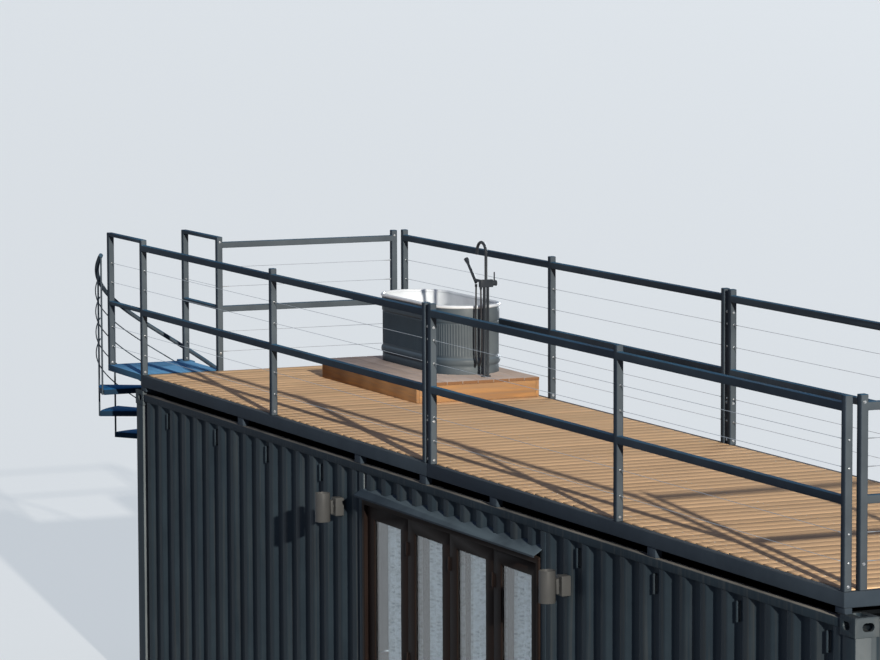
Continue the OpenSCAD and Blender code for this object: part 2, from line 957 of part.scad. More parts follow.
// A folded steel pan with a hub that slips over the column
module tread(k) {
    top = board_z - k * rise;
    a1 = first_angle - (k - 1) * tread_turn + pan_lap;
    a0 = first_angle - k * tread_turn - pan_lap;
    mid = (a0 + a1) / 2;
    rim = tread_r - pan_t;
    fold = asin(pan_t / tread_r) * 1.6;
    translate([column_x, column_y, top - pan_h])
        difference() {
            union() {
                linear_extrude(pan_h)
                    polygon(wedge(hub_r * 0.7, tread_r, a0, a1));
                cylinder(r = hub_r, h = pan_h);
            }
            translate([0, 0, -1])
                linear_extrude(pan_h - pan_t + 1)
                    translate(ring_point(hub_r * 0.2, mid))
                        polygon(wedge(hub_r * 1.5, rim - hub_r * 0.2, a0 + fold, a1 - fold));
            translate([0, 0, -1])
                cylinder(d = column_d + 2 * seat, h = pan_h + 2);
        }
}

module stair_treads() {
    color(paint) placed()
        for (k = [1:treads])
            tread(k);
}

function hand_z(j) = board_z + hand_h - j * rise;

module stair_balusters() {
    color(paint) placed()
        for (j = [0:treads]) {
            low = j == treads ? 0 : board_z - (j + 1) * rise - pan_h;
            top = hand_z(j) - hand_d / 2;
            spot = ring_point(guard_r, first_angle - j * tread_turn);
            translate([column_x + spot[0], column_y + spot[1], low])
                cylinder(d = baluster_d, h = top - low, $fn = 24);
        }
}

// A round bar swept along a helix about the column, as one closed skin
module helix_bar(radius, d, drop, sides) {
    parts = 3;
    steps = treads * parts;
    points = [
        for (i = [0:steps]) let (
            a = first_angle - tread_turn * i / parts,
            z = hand_z(i / parts) - drop
        )
        for (s = [0:sides - 1]) let (
            b = 360 * s / sides,
            r = radius + d / 2 * cos(b)
        )
        [column_x + r * cos(a), column_y + r * sin(a), z + d / 2 * sin(b)]
    ];
    skin = [
        for (i = [0:steps - 1], s = [0:sides - 1]) let (t = (s + 1) % sides)
        [i * sides + s, i * sides + t, (i + 1) * sides + t, (i + 1) * sides + s]
    ];
    first_cap = [for (s = [sides - 1:-1:0]) s];
    last_cap = [for (s = [0:sides - 1]) steps * sides + s];
    polyhedron(points = points, faces = concat(skin, [first_cap], [last_cap]), convexity = 6);
}

module stair_handrail() {
    color(paint) placed()
        helix_bar(guard_r, hand_d, 0, 12);
}

module stair_line_rails() {
    color(paint) placed()
        for (k = [1:lines])
            helix_bar(line_r, line_d, k * line_drop, 8);
}

module tub_plinth() {
    color(weathered) placed()
        difference() {
            translate([plinth_x, plinth_y, board_z])
                cube([plinth_l, plinth_w, plinth_h]);
            translate([plinth_x + plinth_t, plinth_y + plinth_t, board_z - 1])
                cube([plinth_l - 2 * plinth_t, plinth_w - 2 * plinth_t, plinth_h - plinth_t + 1]);
        }
}

// A place on an outline with two straight sides and two round ends, at a share of its length
function oval_point(share, reach, r) =
    let (
        total = 4 * reach + 2 * PI * r,
        d = share * total,
        a = (d - 2 * reach) / r * 180 / PI - 90,
        b = (d - 4 * reach) / r * 180 / PI - 270
    )
    d < 2 * reach ? [d - reach, -r]
    : a < 90 ? [reach + r * cos(a), r * sin(a)]
    : d < 4 * reach + PI * r ? [3 * reach + PI * r - d, r]
    : [-reach + r * cos(b + 180), r * sin(b + 180)];

// The fluted outline, which goes in and out by the depth of a flute
module fluted_oval(length, width) {
    reach = (length - width) / 2;
    r = width / 2;
    polygon([
        for (k = [0:2 * flutes - 1]) let (
            outer = oval_point(k / (2 * flutes), reach, r),
            hub = [max(-reach, min(reach, outer[0])), 0],
            out = (outer - hub) / norm(outer - hub)
        )
        outer - out * (k % 2) * flute_d
    ]);
}

// A swaged band round the tub, which stands proud of the shell in small steps
module tub_band(low, high, out, steps) {
    for (k = [1:steps]) {
        inset = (k - 1) * out / steps;
        grow = 2 * k * out / steps;
        translate([0, 0, low + inset])
            linear_extrude(high - low - 2 * inset)
                oval(tub_l - rim_d + grow, tub_w - rim_d + grow);
    }
}

module tub_shell() {
    body_l = tub_l - rim_d;
    body_w = tub_w - rim_d;
    body_h = tub_h - rim_d;
    color("dimgray") placed()
        translate([tub_x, tub_y, plinth_z])
            difference() {
                union() {
                    linear_extrude(flute_low)
                        oval(body_l, body_w);
                    translate([0, 0, flute_low])
                        linear_extrude(band_z - flute_low)
                            fluted_oval(body_l - 2 * flute_in, body_w - 2 * flute_in);
                    tub_band(band_z, body_h, band_out, 1);
                    tub_band(bead_z - bead_h / 2, bead_z + bead_h / 2, bead_out, 3);
                }
                translate([0, 0, tub_t])
                    linear_extrude(tub_h)
                        oval(body_l - 2 * tub_t, body_w - 2 * tub_t);
            }
}

// The rolled rim, a round bar bent round the oval
module rolled_rim(length, width) {
    reach = (length - width) / 2;
    for (side = [0, 1])
        mirror([side, 0, 0])
            translate([reach, 0, 0])
                rotate([0, 0, -90])
                    rotate_extrude(angle = 180, $fn = 96)
                        translate([width / 2, 0])
                            circle(d = rim_d, $fn = 24);
    for (side = [-1, 1])
        translate([-reach, side * width / 2, 0])
            rotate([0, 90, 0])
                cylinder(d = rim_d, h = 2 * reach, $fn = 24);
}

module tub_liner() {
    inner_l = tub_l - rim_d - 2 * tub_t - 2 * seat;
    inner_w = tub_w - rim_d - 2 * tub_t - 2 * seat;
    color("white") placed()
        translate([tub_x, tub_y, plinth_z]) {
            difference() {
                translate([0, 0, tub_t])
                    linear_extrude(tub_h - rim_d / 2 - tub_t)
                        oval(inner_l, inner_w);
                translate([0, 0, tub_floor])
                    linear_extrude(tub_h)
                        oval(inner_l - 2 * tub_t, inner_w - 2 * tub_t);
            }
            translate([0, 0, tub_h - rim_d / 2])
                rolled_rim(tub_l - rim_d, tub_w - rim_d);
        }
}

module tub_filler() {
    neck_z = filler_h - neck_r - pipe_d / 2;
    color("black") placed()
        translate([filler_x, tub_y, plinth_z]) {
            for (side = [-1, 1])
                translate([0, side * leg_gap / 2, 0]) {
                    cylinder(d = 2.2 * pipe_d, h = 8);
                    cylinder(d = pipe_d, h = valve_h);
                }
            translate([-20, -55, valve_h - 30])
                cube([40, 110, 60]);
            translate([-105, -55, valve_h + 10])
                cube([100, 20, 20]);
            translate([-92, -45, valve_h])
                rotate([0, -47, 0])
                    cylinder(d = pipe_d, h = 255);
            translate([0, 0, valve_h])
                cylinder(d = pipe_d, h = neck_z - valve_h);
            translate([-neck_r, 0, neck_z])
                rotate([90, 0, 0])
                    rotate_extrude(angle = 180)
                        translate([neck_r, 0])
                            circle(d = pipe_d);
            translate([-2 * neck_r, 0, neck_z - 20])
                cylinder(d = pipe_d, h = 20);
            translate([0, 55, valve_h])
                rotate([-90, 0, 0])
                    cylinder(d = 42, h = 30);
        }
}

// Route of the shower hose, from under the valve, down in a loop and up to the hand shower
hose_route = [
    [0, -45, -30], [0, -45, -75], [1, -45, -130], [3, -45, -190],
    [6, -45, -250], [9, -45, -310], [12, -45, -370], [14, -45, -430],
    [15, -45, -485], [13.5, -45, -535], [8, -45, -580], [-3, -45, -618],
    [-20, -45, -645], [-43, -45, -657], [-66, -45, -649], [-85, -45, -625],
    [-97, -45, -588], [-103, -45, -545], [-105.5, -45, -495], [-106, -45, -440],
    [-105, -45, -380], [-103, -45, -320], [-100, -45, -260], [-97, -45, -200],
    [-94.5, -45, -140], [-93, -45, -80], [-92, -45, -40], [-92, -45, -14]
];

module hose(route, d, sides) {
    last = len(route) - 1;
    rings = [
        for (i = [0:last]) let (
            along = route[min(i + 1, last)] - route[max(i - 1, 0)],
            dir = along / norm(along),
            side = cross(dir, [0, 1, 0]) / norm(cross(dir, [0, 1, 0])),
            up = cross(side, dir)
        )
        for (s = [0:sides - 1]) let (b = 360 * s / sides)
        route[i] + d / 2 * (side * cos(b) + up * sin(b))
    ];
    skin = [
        for (i = [0:last - 1], s = [0:sides - 1]) let (t = (s + 1) % sides)
        [i * sides + s, i * sides + t, (i + 1) * sides + t, (i + 1) * sides + s]
    ];
    first_cap = [for (s = [sides - 1:-1:0]) s];
    last_cap = [for (s = [0:sides - 1]) last * sides + s];
    polyhedron(points = rings, faces = concat(skin, [first_cap], [last_cap]), convexity = 6);
}

module filler_hose() {
    color("black") placed()
        translate([filler_x, tub_y, valve_z])
            hose(hose_route, hose_d, 8);
}

base_frame();
floor_boards();
corner_posts();
corner_castings();
top_rails();
roof_sheet();
front_wall_left();
front_wall_right();
front_wall_over_door();
back_wall();
end_walls();
lashing_bars();
door_posts();
door_frame();
door_leaf_1();
door_leaf_2();
door_leaf_3();
door_leaf_4();
door_glass();
door_flashing();
curtain_track();
curtains();
wall_lamps();
deck_stubs();
deck_frame();
deck_boards();
front_rail_left();
front_rail_right();
back_rail_left();
back_rail_right();
end_rail_left();
end_rail_right();
rail_cables();
landing();
landing_guards();
stair_column();
stair_treads();
stair_balusters();
stair_handrail();
stair_line_rails();
tub_plinth();
tub_shell();
tub_liner();
tub_filler();
filler_hose();
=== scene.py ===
# %% [markdown]
# # A container cabin with a roof deck
# The cabin is a forty foot steel container with a folding glass front, a timber deck with a
# cable railing on its roof, a landing and a spiral stair at one end, and a soaking tub.
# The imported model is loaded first. It fixes every size, so the rest of this file only
# rounds edges, adds small parts and gives each piece its finish.

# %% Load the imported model
import bpy
import bmesh
import math
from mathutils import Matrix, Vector


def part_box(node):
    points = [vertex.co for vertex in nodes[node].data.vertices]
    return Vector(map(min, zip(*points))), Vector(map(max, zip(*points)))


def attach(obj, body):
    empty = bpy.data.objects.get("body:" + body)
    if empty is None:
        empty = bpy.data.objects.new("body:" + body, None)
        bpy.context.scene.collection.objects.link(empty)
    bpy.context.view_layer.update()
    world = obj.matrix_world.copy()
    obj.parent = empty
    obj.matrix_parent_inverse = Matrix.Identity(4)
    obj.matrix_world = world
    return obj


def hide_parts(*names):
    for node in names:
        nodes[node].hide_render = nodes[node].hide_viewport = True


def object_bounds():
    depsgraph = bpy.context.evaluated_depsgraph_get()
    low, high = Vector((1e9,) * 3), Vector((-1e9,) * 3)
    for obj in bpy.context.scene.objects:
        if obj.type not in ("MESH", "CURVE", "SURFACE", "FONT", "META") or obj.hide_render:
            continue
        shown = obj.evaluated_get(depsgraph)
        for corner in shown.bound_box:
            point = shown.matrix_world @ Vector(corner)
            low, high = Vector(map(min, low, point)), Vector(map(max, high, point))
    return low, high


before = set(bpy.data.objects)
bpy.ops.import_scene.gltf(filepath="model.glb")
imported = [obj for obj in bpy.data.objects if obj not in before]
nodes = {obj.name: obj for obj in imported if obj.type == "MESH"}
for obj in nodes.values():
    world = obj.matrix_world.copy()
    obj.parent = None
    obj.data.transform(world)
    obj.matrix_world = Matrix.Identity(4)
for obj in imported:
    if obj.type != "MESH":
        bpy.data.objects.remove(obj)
cad_low, cad_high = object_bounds()
print("cabin box", [round(v, 3) for v in cad_high - cad_low], "nodes", len(nodes))

# %% [markdown]
# The photograph was taken with a long lens from high on the +X side of the front. The
# camera's place and turn were solved from the container's known width and length, in
# metres from the middle of its corner castings, so the render has the photograph's frame.

# %% Place the camera
focal_pixels, photo_width, sensor_width = 4091.1, 880.0, 36.0
casting_low, casting_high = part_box("corner_castings")
offset_x, offset_y = (casting_low.x + casting_high.x) / 2, (casting_low.y + casting_high.y) / 2


def new_object(name, data):
    made = bpy.data.objects.new(name, data)
    bpy.context.scene.collection.objects.link(made)
    return made


camera_data = bpy.data.cameras.new("long_lens")
camera = new_object("long_lens", camera_data)
camera_data.sensor_width = sensor_width
camera_data.lens = sensor_width * focal_pixels / photo_width
camera_data.clip_start, camera_data.clip_end = 0.5, 2000.0

azimuth, elevation, roll = (math.radians(angle) for angle in (66.079, 6.047, -0.208))
level = math.cos(elevation)
forward = Vector((-math.sin(azimuth) * level, math.cos(azimuth) * level, -math.sin(elevation)))
flat_right = Vector((math.cos(azimuth), math.sin(azimuth), 0.0))
flat_up = flat_right.cross(forward)
right = math.cos(roll) * flat_right + math.sin(roll) * flat_up
up = right.cross(forward)
camera.rotation_mode = "QUATERNION"
turn = camera.matrix_world.to_3x3()
turn.col[0], turn.col[1], turn.col[2] = right, up, -forward
camera.rotation_quaternion = turn.to_quaternion()
camera.location = (26.285 + offset_x, -12.770 + offset_y, 6.714)
bpy.context.scene.camera = camera
bpy.context.scene.view_settings.view_transform = "Standard"
print("camera at", [round(v, 2) for v in camera.location])

# %% [markdown]
# ## Shower hose
# The hose hangs from the valve beside the tub in one slack loop and comes back up to the
# hand shower. It is 14 mm thick and 1.3 m long. A curve through chosen points is the plain
# way to draw it, and the curve's bevel gives it its thickness.

# %% Hang the hose
valve = Vector((-3.33 + offset_x, 0.77 + offset_y, 3.638))
hose_radius, hose_forward = 0.007, -45
hose_points = [  # millimetres along X and Z from the valve
    (0, -30), (0, -75), (1, -130), (3, -190), (6, -250), (9, -310), (12, -370), (14, -430),
    (15, -485), (13.5, -535), (8, -580), (-3, -618), (-20, -645), (-43, -657), (-66, -649),
    (-85, -625), (-97, -588), (-103, -545), (-105.5, -495), (-106, -440), (-105, -380),
    (-103, -320), (-100, -260), (-97, -200), (-94.5, -140), (-93, -80), (-92, -40), (-92, -14),
]
hose_curve = bpy.data.curves.new("shower_hose", "CURVE")
hose_curve.dimensions = "3D"
hose_curve.bevel_depth = 1.0
hose_curve.bevel_resolution = 4
hose_curve.resolution_u = 6
hose_curve.use_fill_caps = True
line = hose_curve.splines.new("BEZIER")
line.bezier_points.add(len(hose_points) - 1)
for point, (x, z) in zip(line.bezier_points, hose_points):
    point.co = valve + Vector((x, hose_forward, z)) / 1000
    point.handle_left_type = point.handle_right_type = "AUTO"
    point.radius = hose_radius
hose = new_object("shower_hose", hose_curve)
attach(hose, "root")
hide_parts("filler_hose")

# %% [markdown]
# ## Light and floor
# Light is a soft sky and one low sun from +X, a little in front of the cabin, which is
# where the shadows in the photograph come from. A weak broad lamp fills the back and the
# stair end. The camera, metal and glass see a pale background that sheds no light. The
# floor is plain and pale and keeps the shadow. It is large, because the low camera looks
# far across it.

# %% Helpers for node trees


def plug(tree, value, socket):
    """Links another node's output to the socket, or sets the socket to a number or colour."""
    if isinstance(value, bpy.types.NodeSocket):
        tree.links.new(value, socket)
    elif socket.type == "RGBA":
        socket.default_value = (*value, 1.0)
    else:
        socket.default_value = value


def fill_in(tree, node, values):
    for name, value in values.items():
        plug(tree, value, node.inputs[name])


def math_node(tree, operation, first, second=0.5):
    node = tree.nodes.new("ShaderNodeMath")
    node.operation = operation
    plug(tree, first, node.inputs[0])
    plug(tree, second, node.inputs[1])
    return node.outputs[0]


def times(tree, first, second):
    return math_node(tree, "MULTIPLY", first, second)


def background_rays(tree):
    """One where the camera, metal or glass looks at the background, zero where it lights."""
    rays = tree.nodes.new("ShaderNodeLightPath").outputs
    seen = rays["Is Camera Ray"]
    for name in ("Is Glossy Ray", "Is Transmission Ray"):
        seen = math_node(tree, "MAXIMUM", seen, rays[name])
    return seen


def new_material(name):
    material = bpy.data.materials.new(name)
    material.use_nodes = True
    tree = material.node_tree
    return material, tree, tree.nodes["Principled BSDF"]


# %% Light the scene


def sun_lamp(name, energy, spread, colour, comes_from):
    lamp = bpy.data.lights.new(name, "SUN")
    lamp.energy, lamp.angle, lamp.color = energy, math.radians(spread), colour
    holder = new_object(name, lamp)
    holder.rotation_mode = "QUATERNION"
    holder.rotation_quaternion = Vector(comes_from).to_track_quat("Z", "Y")


sun_lamp("sun", 4.8, 0.8, (1.0, 0.94, 0.84), (0.951, -0.145, 0.270))
sun_lamp("back_fill", 1.9, 18, (0.86, 0.93, 1.0), (-0.72, 0.68, 0.08))

world = bpy.data.worlds.new("soft_sky")
bpy.context.scene.world = world
world.use_nodes = True
sky = world.node_tree
sky_light = sky.nodes["Background"]
pale = sky.nodes.new("ShaderNodeBackground")
fill_in(sky, sky_light, {"Color": (0.52, 0.61, 0.97), "Strength": 0.21})
fill_in(sky, pale, {"Color": (0.64, 0.73, 0.82)})
choice = sky.nodes.new("ShaderNodeMixShader")
plug(sky, background_rays(sky), choice.inputs["Fac"])
plug(sky, sky_light.outputs["Background"], choice.inputs[1])
plug(sky, pale.outputs["Background"], choice.inputs[2])
plug(sky, choice.outputs["Shader"], sky.nodes["World Output"].inputs["Surface"])
print("lamps", len(bpy.data.lights))

# %% Lay the floor
floor_size, floor_glow = 900.0, 0.55


def deselect():
    if bpy.context.object and bpy.context.object.mode != "OBJECT":
        bpy.ops.object.mode_set(mode="OBJECT")
    bpy.ops.object.select_all(action="DESELECT")


def choose(piece):
    piece.select_set(True)
    bpy.context.view_layer.objects.active = piece


deselect()
bpy.ops.mesh.primitive_plane_add(size=floor_size, location=(0, 0, 0))
floor = bpy.context.object
floor.name = "pale_floor"
floor_paint, tree, shader = new_material("pale_floor")
fill_in(tree, shader, {
    "Base Color": (0.3, 0.3, 0.3), "Roughness": 0.9, "Specular IOR Level": 0.1,
    "Emission Color": (0.88, 0.95, 1.0),
    "Emission Strength": times(tree, background_rays(tree), floor_glow),
})
floor.data.materials.append(floor_paint)
print("floor", floor.name, "side", floor_size)

# %% [markdown]
# ## Finishes
# Many surfaces share the same effects, so each effect is a node group that is built once.
# Paint has a slightly rippled skin, takes dust and a painted sky and sun sheen where it faces up
# and painted sunlight where it faces the sun, rain leaves upright streaks on walls, and sawn
# timber has long grain and a tone for every board.

# %% Helpers that build a node group


def new_group(name, inputs):
    """A group with the named inputs, which puts out a colour, a roughness and a height."""
    group = bpy.data.node_groups.new(name, "ShaderNodeTree")
    for label, value in inputs.items():
        kind = "Vector" if value is None else "Color" if isinstance(value, tuple) else "Float"
        socket = group.interface.new_socket(label, in_out="INPUT", socket_type="NodeSocket" + kind)
        if kind != "Vector":
            socket.default_value = (*value, 1.0) if kind == "Color" else value
    for label, kind in (("Color", "Color"), ("Roughness", "Float"), ("Height", "Float")):
        group.interface.new_socket(label, in_out="OUTPUT", socket_type="NodeSocket" + kind)
    given, made = group.nodes.new("NodeGroupInput"), group.nodes.new("NodeGroupOutput")
    return group, given.outputs, made


def stretch(tree, place, scale, shift=(0, 0, 0)):
    node = tree.nodes.new("ShaderNodeMapping")
    fill_in(tree, node, {"Vector": place, "Location": shift, "Scale": scale})
    return node.outputs["Vector"]


def noise(tree, place, scale, detail, roughness, distortion=0.0):
    node = tree.nodes.new("ShaderNodeTexNoise")
    fill_in(tree, node, {"Vector": place, "Scale": scale, "Detail": detail,
                         "Roughness": roughness, "Distortion": distortion})
    return node.outputs["Fac"]


def ramp(tree, source, low, high):
    """Zero below low, one above high, and even steps between."""
    node = tree.nodes.new("ShaderNodeMapRange")
    fill_in(tree, node, {"Value": source, "From Min": low, "From Max": high})
    return node.outputs["Result"]


def mix_colors(tree, factor, first, second, blend="MIX"):
    """The Mix node keeps its two colours in sockets 6 and 7."""
    node = tree.nodes.new("ShaderNodeMix")
    node.data_type, node.blend_type = "RGBA", blend
    for place, value in ((0, factor), (6, first), (7, second)):
        plug(tree, value, node.inputs[place])
    return node.outputs[2]


def split(tree, vector):
    node = tree.nodes.new("ShaderNodeSeparateXYZ")
    plug(tree, vector, node.inputs[0])
    return node.outputs


def facing(tree):
    """How far a face looks along X, Y and Z."""
    return split(tree, tree.nodes.new("ShaderNodeNewGeometry").outputs["Normal"])


# %% [markdown]
# The first group is the painted skin. It takes the paint's own colour and gives back a
# colour with faint mottling, rain streaks, dust and painted sheen, together with a
# roughness that changes with them and a height for the skin's fine ripple. The dust colour
# goes on faces that look up, as real dust on some paints and as painted sky reflection and
# sunlit tops on others, and faces that look along +X, to the sunny side, get a lighter
# painted sunlit colour.

# %% Group for weathered paint with painted light
paint_group, given, made = new_group("weathered_paint_with_painted_light", {
    "Vector": None, "Paint": (0.02, 0.02, 0.02), "Dust And Sheen": (0.2, 0.18, 0.15), "Dust And Sheen Amount": 0.3,
    "Streaks": 0.2, "Painted Sunlit Colour": (0.128, 0.148, 0.158), "Painted Sunlight": 0.0, "Sunny From": 0.9,
    "Roughness": 0.4,
})
tree, looks = paint_group, facing(paint_group)
mottle = noise(tree, given["Vector"], 2.3, 5.0, 0.6)
rain = noise(tree, stretch(tree, given["Vector"], (26.0, 26.0, 0.7)), 1.0, 4.0, 0.55)
ripple = noise(tree, given["Vector"], 190.0, 2.0, 0.5)
patchy = math_node(tree, "ADD", ramp(tree, mottle, 0.3, 0.75), 0.35)
# Faces that look up take the dust colour: real dust on some paints, painted sky reflection and
# painted sunlit tops on others.
top_dust_and_sheen = times(tree, ramp(tree, looks["Z"], 0.25, 0.95), patchy)
top_dust_and_sheen = times(tree, top_dust_and_sheen, given["Dust And Sheen Amount"])
washed = times(tree, ramp(tree, rain, 0.5, 0.8), given["Streaks"])
dust_sheen_and_streaks = math_node(tree, "MAXIMUM", top_dust_and_sheen, washed)
# Painted sunlight: faces that look along +X, towards the sun, get a lighter colour.
sunny = ramp(tree, looks["X"], given["Sunny From"], 0.98)
painted_sunlight_mask = times(tree, sunny, given["Painted Sunlight"])
base = mix_colors(tree, painted_sunlight_mask, given["Paint"], given["Painted Sunlit Colour"])
tones = mix_colors(tree, ramp(tree, mottle, 0.25, 0.8), (0.72, 0.72, 0.74), (1.22, 1.2, 1.18))
toned = mix_colors(tree, 1.0, base, tones, "MULTIPLY")
rough = math_node(tree, "ADD", given["Roughness"], times(tree, dust_sheen_and_streaks, 0.5))
uneven = times(tree, math_node(tree, "SUBTRACT", mottle, 0.5), 0.16)
fill_in(tree, made, {
    "Color": mix_colors(tree, dust_sheen_and_streaks, toned, given["Dust And Sheen"]),
    "Roughness": math_node(tree, "ADD", rough, uneven), "Height": ripple,
})
print("group", paint_group.name, len(paint_group.nodes), "nodes")

# %% [markdown]
# The second group is sawn timber. Grain is noise that is stretched along the board, and a
# whole number per board, made from the place across the boards, picks that board's tone.

# %% Group for sawn boards
wood_group, given, made = new_group("sawn_board", {
    "Vector": None, "Board": 0.0, "Light": (0.4, 0.25, 0.15), "Dark": (0.2, 0.12, 0.07),
    "Weathered": (0.3, 0.28, 0.26), "Age": 0.2,
})
tree, board_shift = wood_group, 40.0
tone = tree.nodes.new("ShaderNodeTexWhiteNoise")
tone.noise_dimensions = "1D"
plug(tree, math_node(tree, "FLOOR", given["Board"]), tone.inputs["W"])
shift = tree.nodes.new("ShaderNodeVectorMath")
shift.operation = "SCALE"
plug(tree, tone.outputs["Color"], shift.inputs[0])
plug(tree, board_shift, shift.inputs["Scale"])
place = tree.nodes.new("ShaderNodeVectorMath")
plug(tree, given["Vector"], place.inputs[0])
plug(tree, shift.outputs[0], place.inputs[1])
grain = noise(tree, place.outputs[0], 1.0, 7.0, 0.62, 0.6)
rings = tree.nodes.new("ShaderNodeTexWave")
fill_in(tree, rings, {"Vector": place.outputs[0], "Scale": 0.35, "Distortion": 5.0, "Detail": 3.0})
long_grain = times(tree, ramp(tree, grain, 0.32, 0.68), 0.7)
growth = times(tree, rings.outputs["Fac"], 0.3)
streak = math_node(tree, "ADD", long_grain, growth)
base = mix_colors(tree, streak, given["Dark"], given["Light"])
shade = mix_colors(tree, tone.outputs["Value"], (0.86, 0.85, 0.84), (1.11, 1.09, 1.07))
varied = mix_colors(tree, 1.0, base, shade, "MULTIPLY")
aged = times(tree, ramp(tree, grain, 0.62, 0.4), given["Age"])
fill_in(tree, made, {
    "Color": mix_colors(tree, aged, varied, given["Weathered"]),
    "Roughness": math_node(tree, "ADD", 0.58, times(tree, streak, 0.2)),
    "Height": streak,
})
print("group", wood_group.name, len(wood_group.nodes), "nodes")

# %% [markdown]
# Each material places a group, feeds it the piece's own coordinates in metres, and sends
# the results to the shader. A plain constant such as the specular level is set on the
# shader itself. The paints differ by where they lie: on rails, treads, landing and tub the
# dust colour is blue, a painted sky reflection on faces that look up, and on the top rails
# and the flashing it is a painted sunlit top, with dust on the top rails. Walls, posts,
# rails and the tub take painted sunlight on faces that look along +X, most on the posts
# and the tub, and the landing is a sunlit copy of the treads' paint.

# %% Helpers that make a paint
paint_bump, timber_bump = 0.25, 0.35


def own_place(tree):
    return tree.nodes.new("ShaderNodeTexCoord").outputs["Object"]


def place_group(tree, group, values):
    node = tree.nodes.new("ShaderNodeGroup")
    node.node_tree = group
    fill_in(tree, node, values)
    return node.outputs


def bump(tree, height, strength, distance):
    node = tree.nodes.new("ShaderNodeBump")
    fill_in(tree, node, {"Strength": strength, "Distance": distance, "Height": height})
    return node.outputs["Normal"]


def paint(name, colour, dust_and_sheen, dust_and_sheen_amount, streaks, roughness, ripple=0.0006, metal=0.0,
          gloss=0.2, painted_sunlight=0.0, sunny_from=0.9):
    material, tree, shader = new_material(name)
    skin = place_group(tree, paint_group, {
        "Vector": own_place(tree), "Paint": colour, "Dust And Sheen": dust_and_sheen, "Dust And Sheen Amount": dust_and_sheen_amount,
        "Streaks": streaks, "Painted Sunlight": painted_sunlight, "Sunny From": sunny_from,
        "Roughness": roughness,
    })
    fill_in(tree, shader, {
        "Base Color": skin["Color"], "Roughness": skin["Roughness"],
        "Normal": bump(tree, skin["Height"], paint_bump, ripple), "Metallic": metal,
        "Specular IOR Level": gloss,
    })
    return material


# %% Painted steel finishes
dust_tan = (0.17, 0.155, 0.13)
container_look = ((0.028, 0.042, 0.054), dust_tan, 0.2, 0.2, 0.5)
# Walls and posts take painted sunlight on faces that look along +X; the posts are a lighter sunlit
# copy of the wall paint.
wall_paint = paint("container_paint", *container_look, gloss=0.03, painted_sunlight=0.5)
sunlit_post_paint = paint("sunlit_corner_post_paint", *container_look, gloss=0.03, painted_sunlight=0.9)
# The rails' blue dust colour is a painted sky reflection on faces that look up, and the rails take
# painted sunlight on faces that look along +X.
rail_paint = paint("railing_paint", (0.042, 0.058, 0.077), (0.045, 0.120, 0.20), 1.0, 0.02, 0.46,
                   gloss=0.005, painted_sunlight=0.38)
# The top rails' light top is dust together with a painted sunlit highlight.
top_rail_paint = paint("top_rail_paint", (0.025, 0.038, 0.050), (0.22, 0.21, 0.19),
                       1.0, 0.15, 0.5, gloss=0.01)
# The flashing's lighter top is painted sunlight.
flashing_paint = paint("flashing_paint", (0.045, 0.060, 0.075), (0.095, 0.130, 0.155),
                       1.2, 0.1, 0.5, gloss=0.01)
frame_paint = paint("frame_paint", (0.040, 0.055, 0.072), dust_tan, 0.1, 0.02, 0.5, gloss=0.01)
# The landing is a lighter copy of the treads' paint, painted as sunlit, and the treads are its
# painted shade; the blue dust colour of both is a painted sky reflection on faces that look up.
sunlit_landing_paint = paint("sunlit_landing_paint", (0.04, 0.10, 0.17), (0.13, 0.33, 0.57), 1.3, 0.0, 0.4,
                      gloss=0.005)
shaded_tread_paint = paint("stair_paint", (0.014, 0.034, 0.062), (0.03, 0.16, 0.36), 1.0, 0.0, 0.4,
                    gloss=0.005)
# The roof sheet's near-black paint is painted shade under the deck.
roof_shade_paint = paint("roof_shade_paint", (0.007, 0.009, 0.011), (0.012, 0.011, 0.010), 0.3, 0.05, 0.7,
                   gloss=0.0)
door_paint = paint("door_paint", (0.016, 0.0105, 0.0090), dust_tan, 0.06, 0.03, 0.45, gloss=0.02)
lamp_paint = paint("lamp_paint", (0.065, 0.067, 0.067), dust_tan, 0.25, 0.0, 0.5, gloss=0.1)
# The tub's blue dust colour is a painted sky reflection on faces that look up, and it takes painted
# sunlight on faces that look along +X.
tub_paint = paint("tub_paint", (0.036, 0.055, 0.074), (0.15, 0.20, 0.25), 0.9, 0.03, 0.42,
                  gloss=0.09, painted_sunlight=0.74, sunny_from=0.35)
enamel = paint("tub_enamel", (0.66, 0.71, 0.75), (0.5, 0.49, 0.46), 0.04, 0.02, 0.22,
               ripple=0.0003, gloss=0.4)
black_metal = paint("filler_black", (0.020, 0.025, 0.032), dust_tan, 0.05, 0.0, 0.4, gloss=0.15)
zinc = paint("bright_bolts", (0.50, 0.51, 0.52), dust_tan, 0.05, 0.0, 0.38, metal=1.0)
cable_wire = paint("cable_wire", (0.40, 0.42, 0.45), dust_tan, 0.0, 0.0, 0.4, metal=1.0)
track_metal = paint("track_metal", (0.6, 0.6, 0.61), dust_tan, 0.0, 0.0, 0.35, metal=0.9)
seal_rubber = paint("seal_rubber", (0.012, 0.012, 0.012), dust_tan, 0.1, 0.0, 0.7)
hose_skin = paint("hose_black", (0.022, 0.022, 0.025), dust_tan, 0.05, 0.0, 0.45)
hose.data.materials.append(hose_skin)
print("materials so far", len(bpy.data.materials))

# %% [markdown]
# Grain has to run along each board, so the timber takes its place stretched along one
# axis, and counts its boards along another. Sawn ends soak up more stain than the faces,
# so the plinth's slats have a darker tone where a face looks along X.

# %% Timber finishes
deck_low, deck_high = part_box("deck_boards")
deck_length, board_and_gap = deck_high.x - deck_low.x, 0.1455
plank_count = round(deck_length / board_and_gap)
plank_pitch = deck_length / plank_count
plinth_low, plinth_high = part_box("tub_plinth")
slat_count = 8
slat_pitch = (plinth_high.y - plinth_low.y) / slat_count


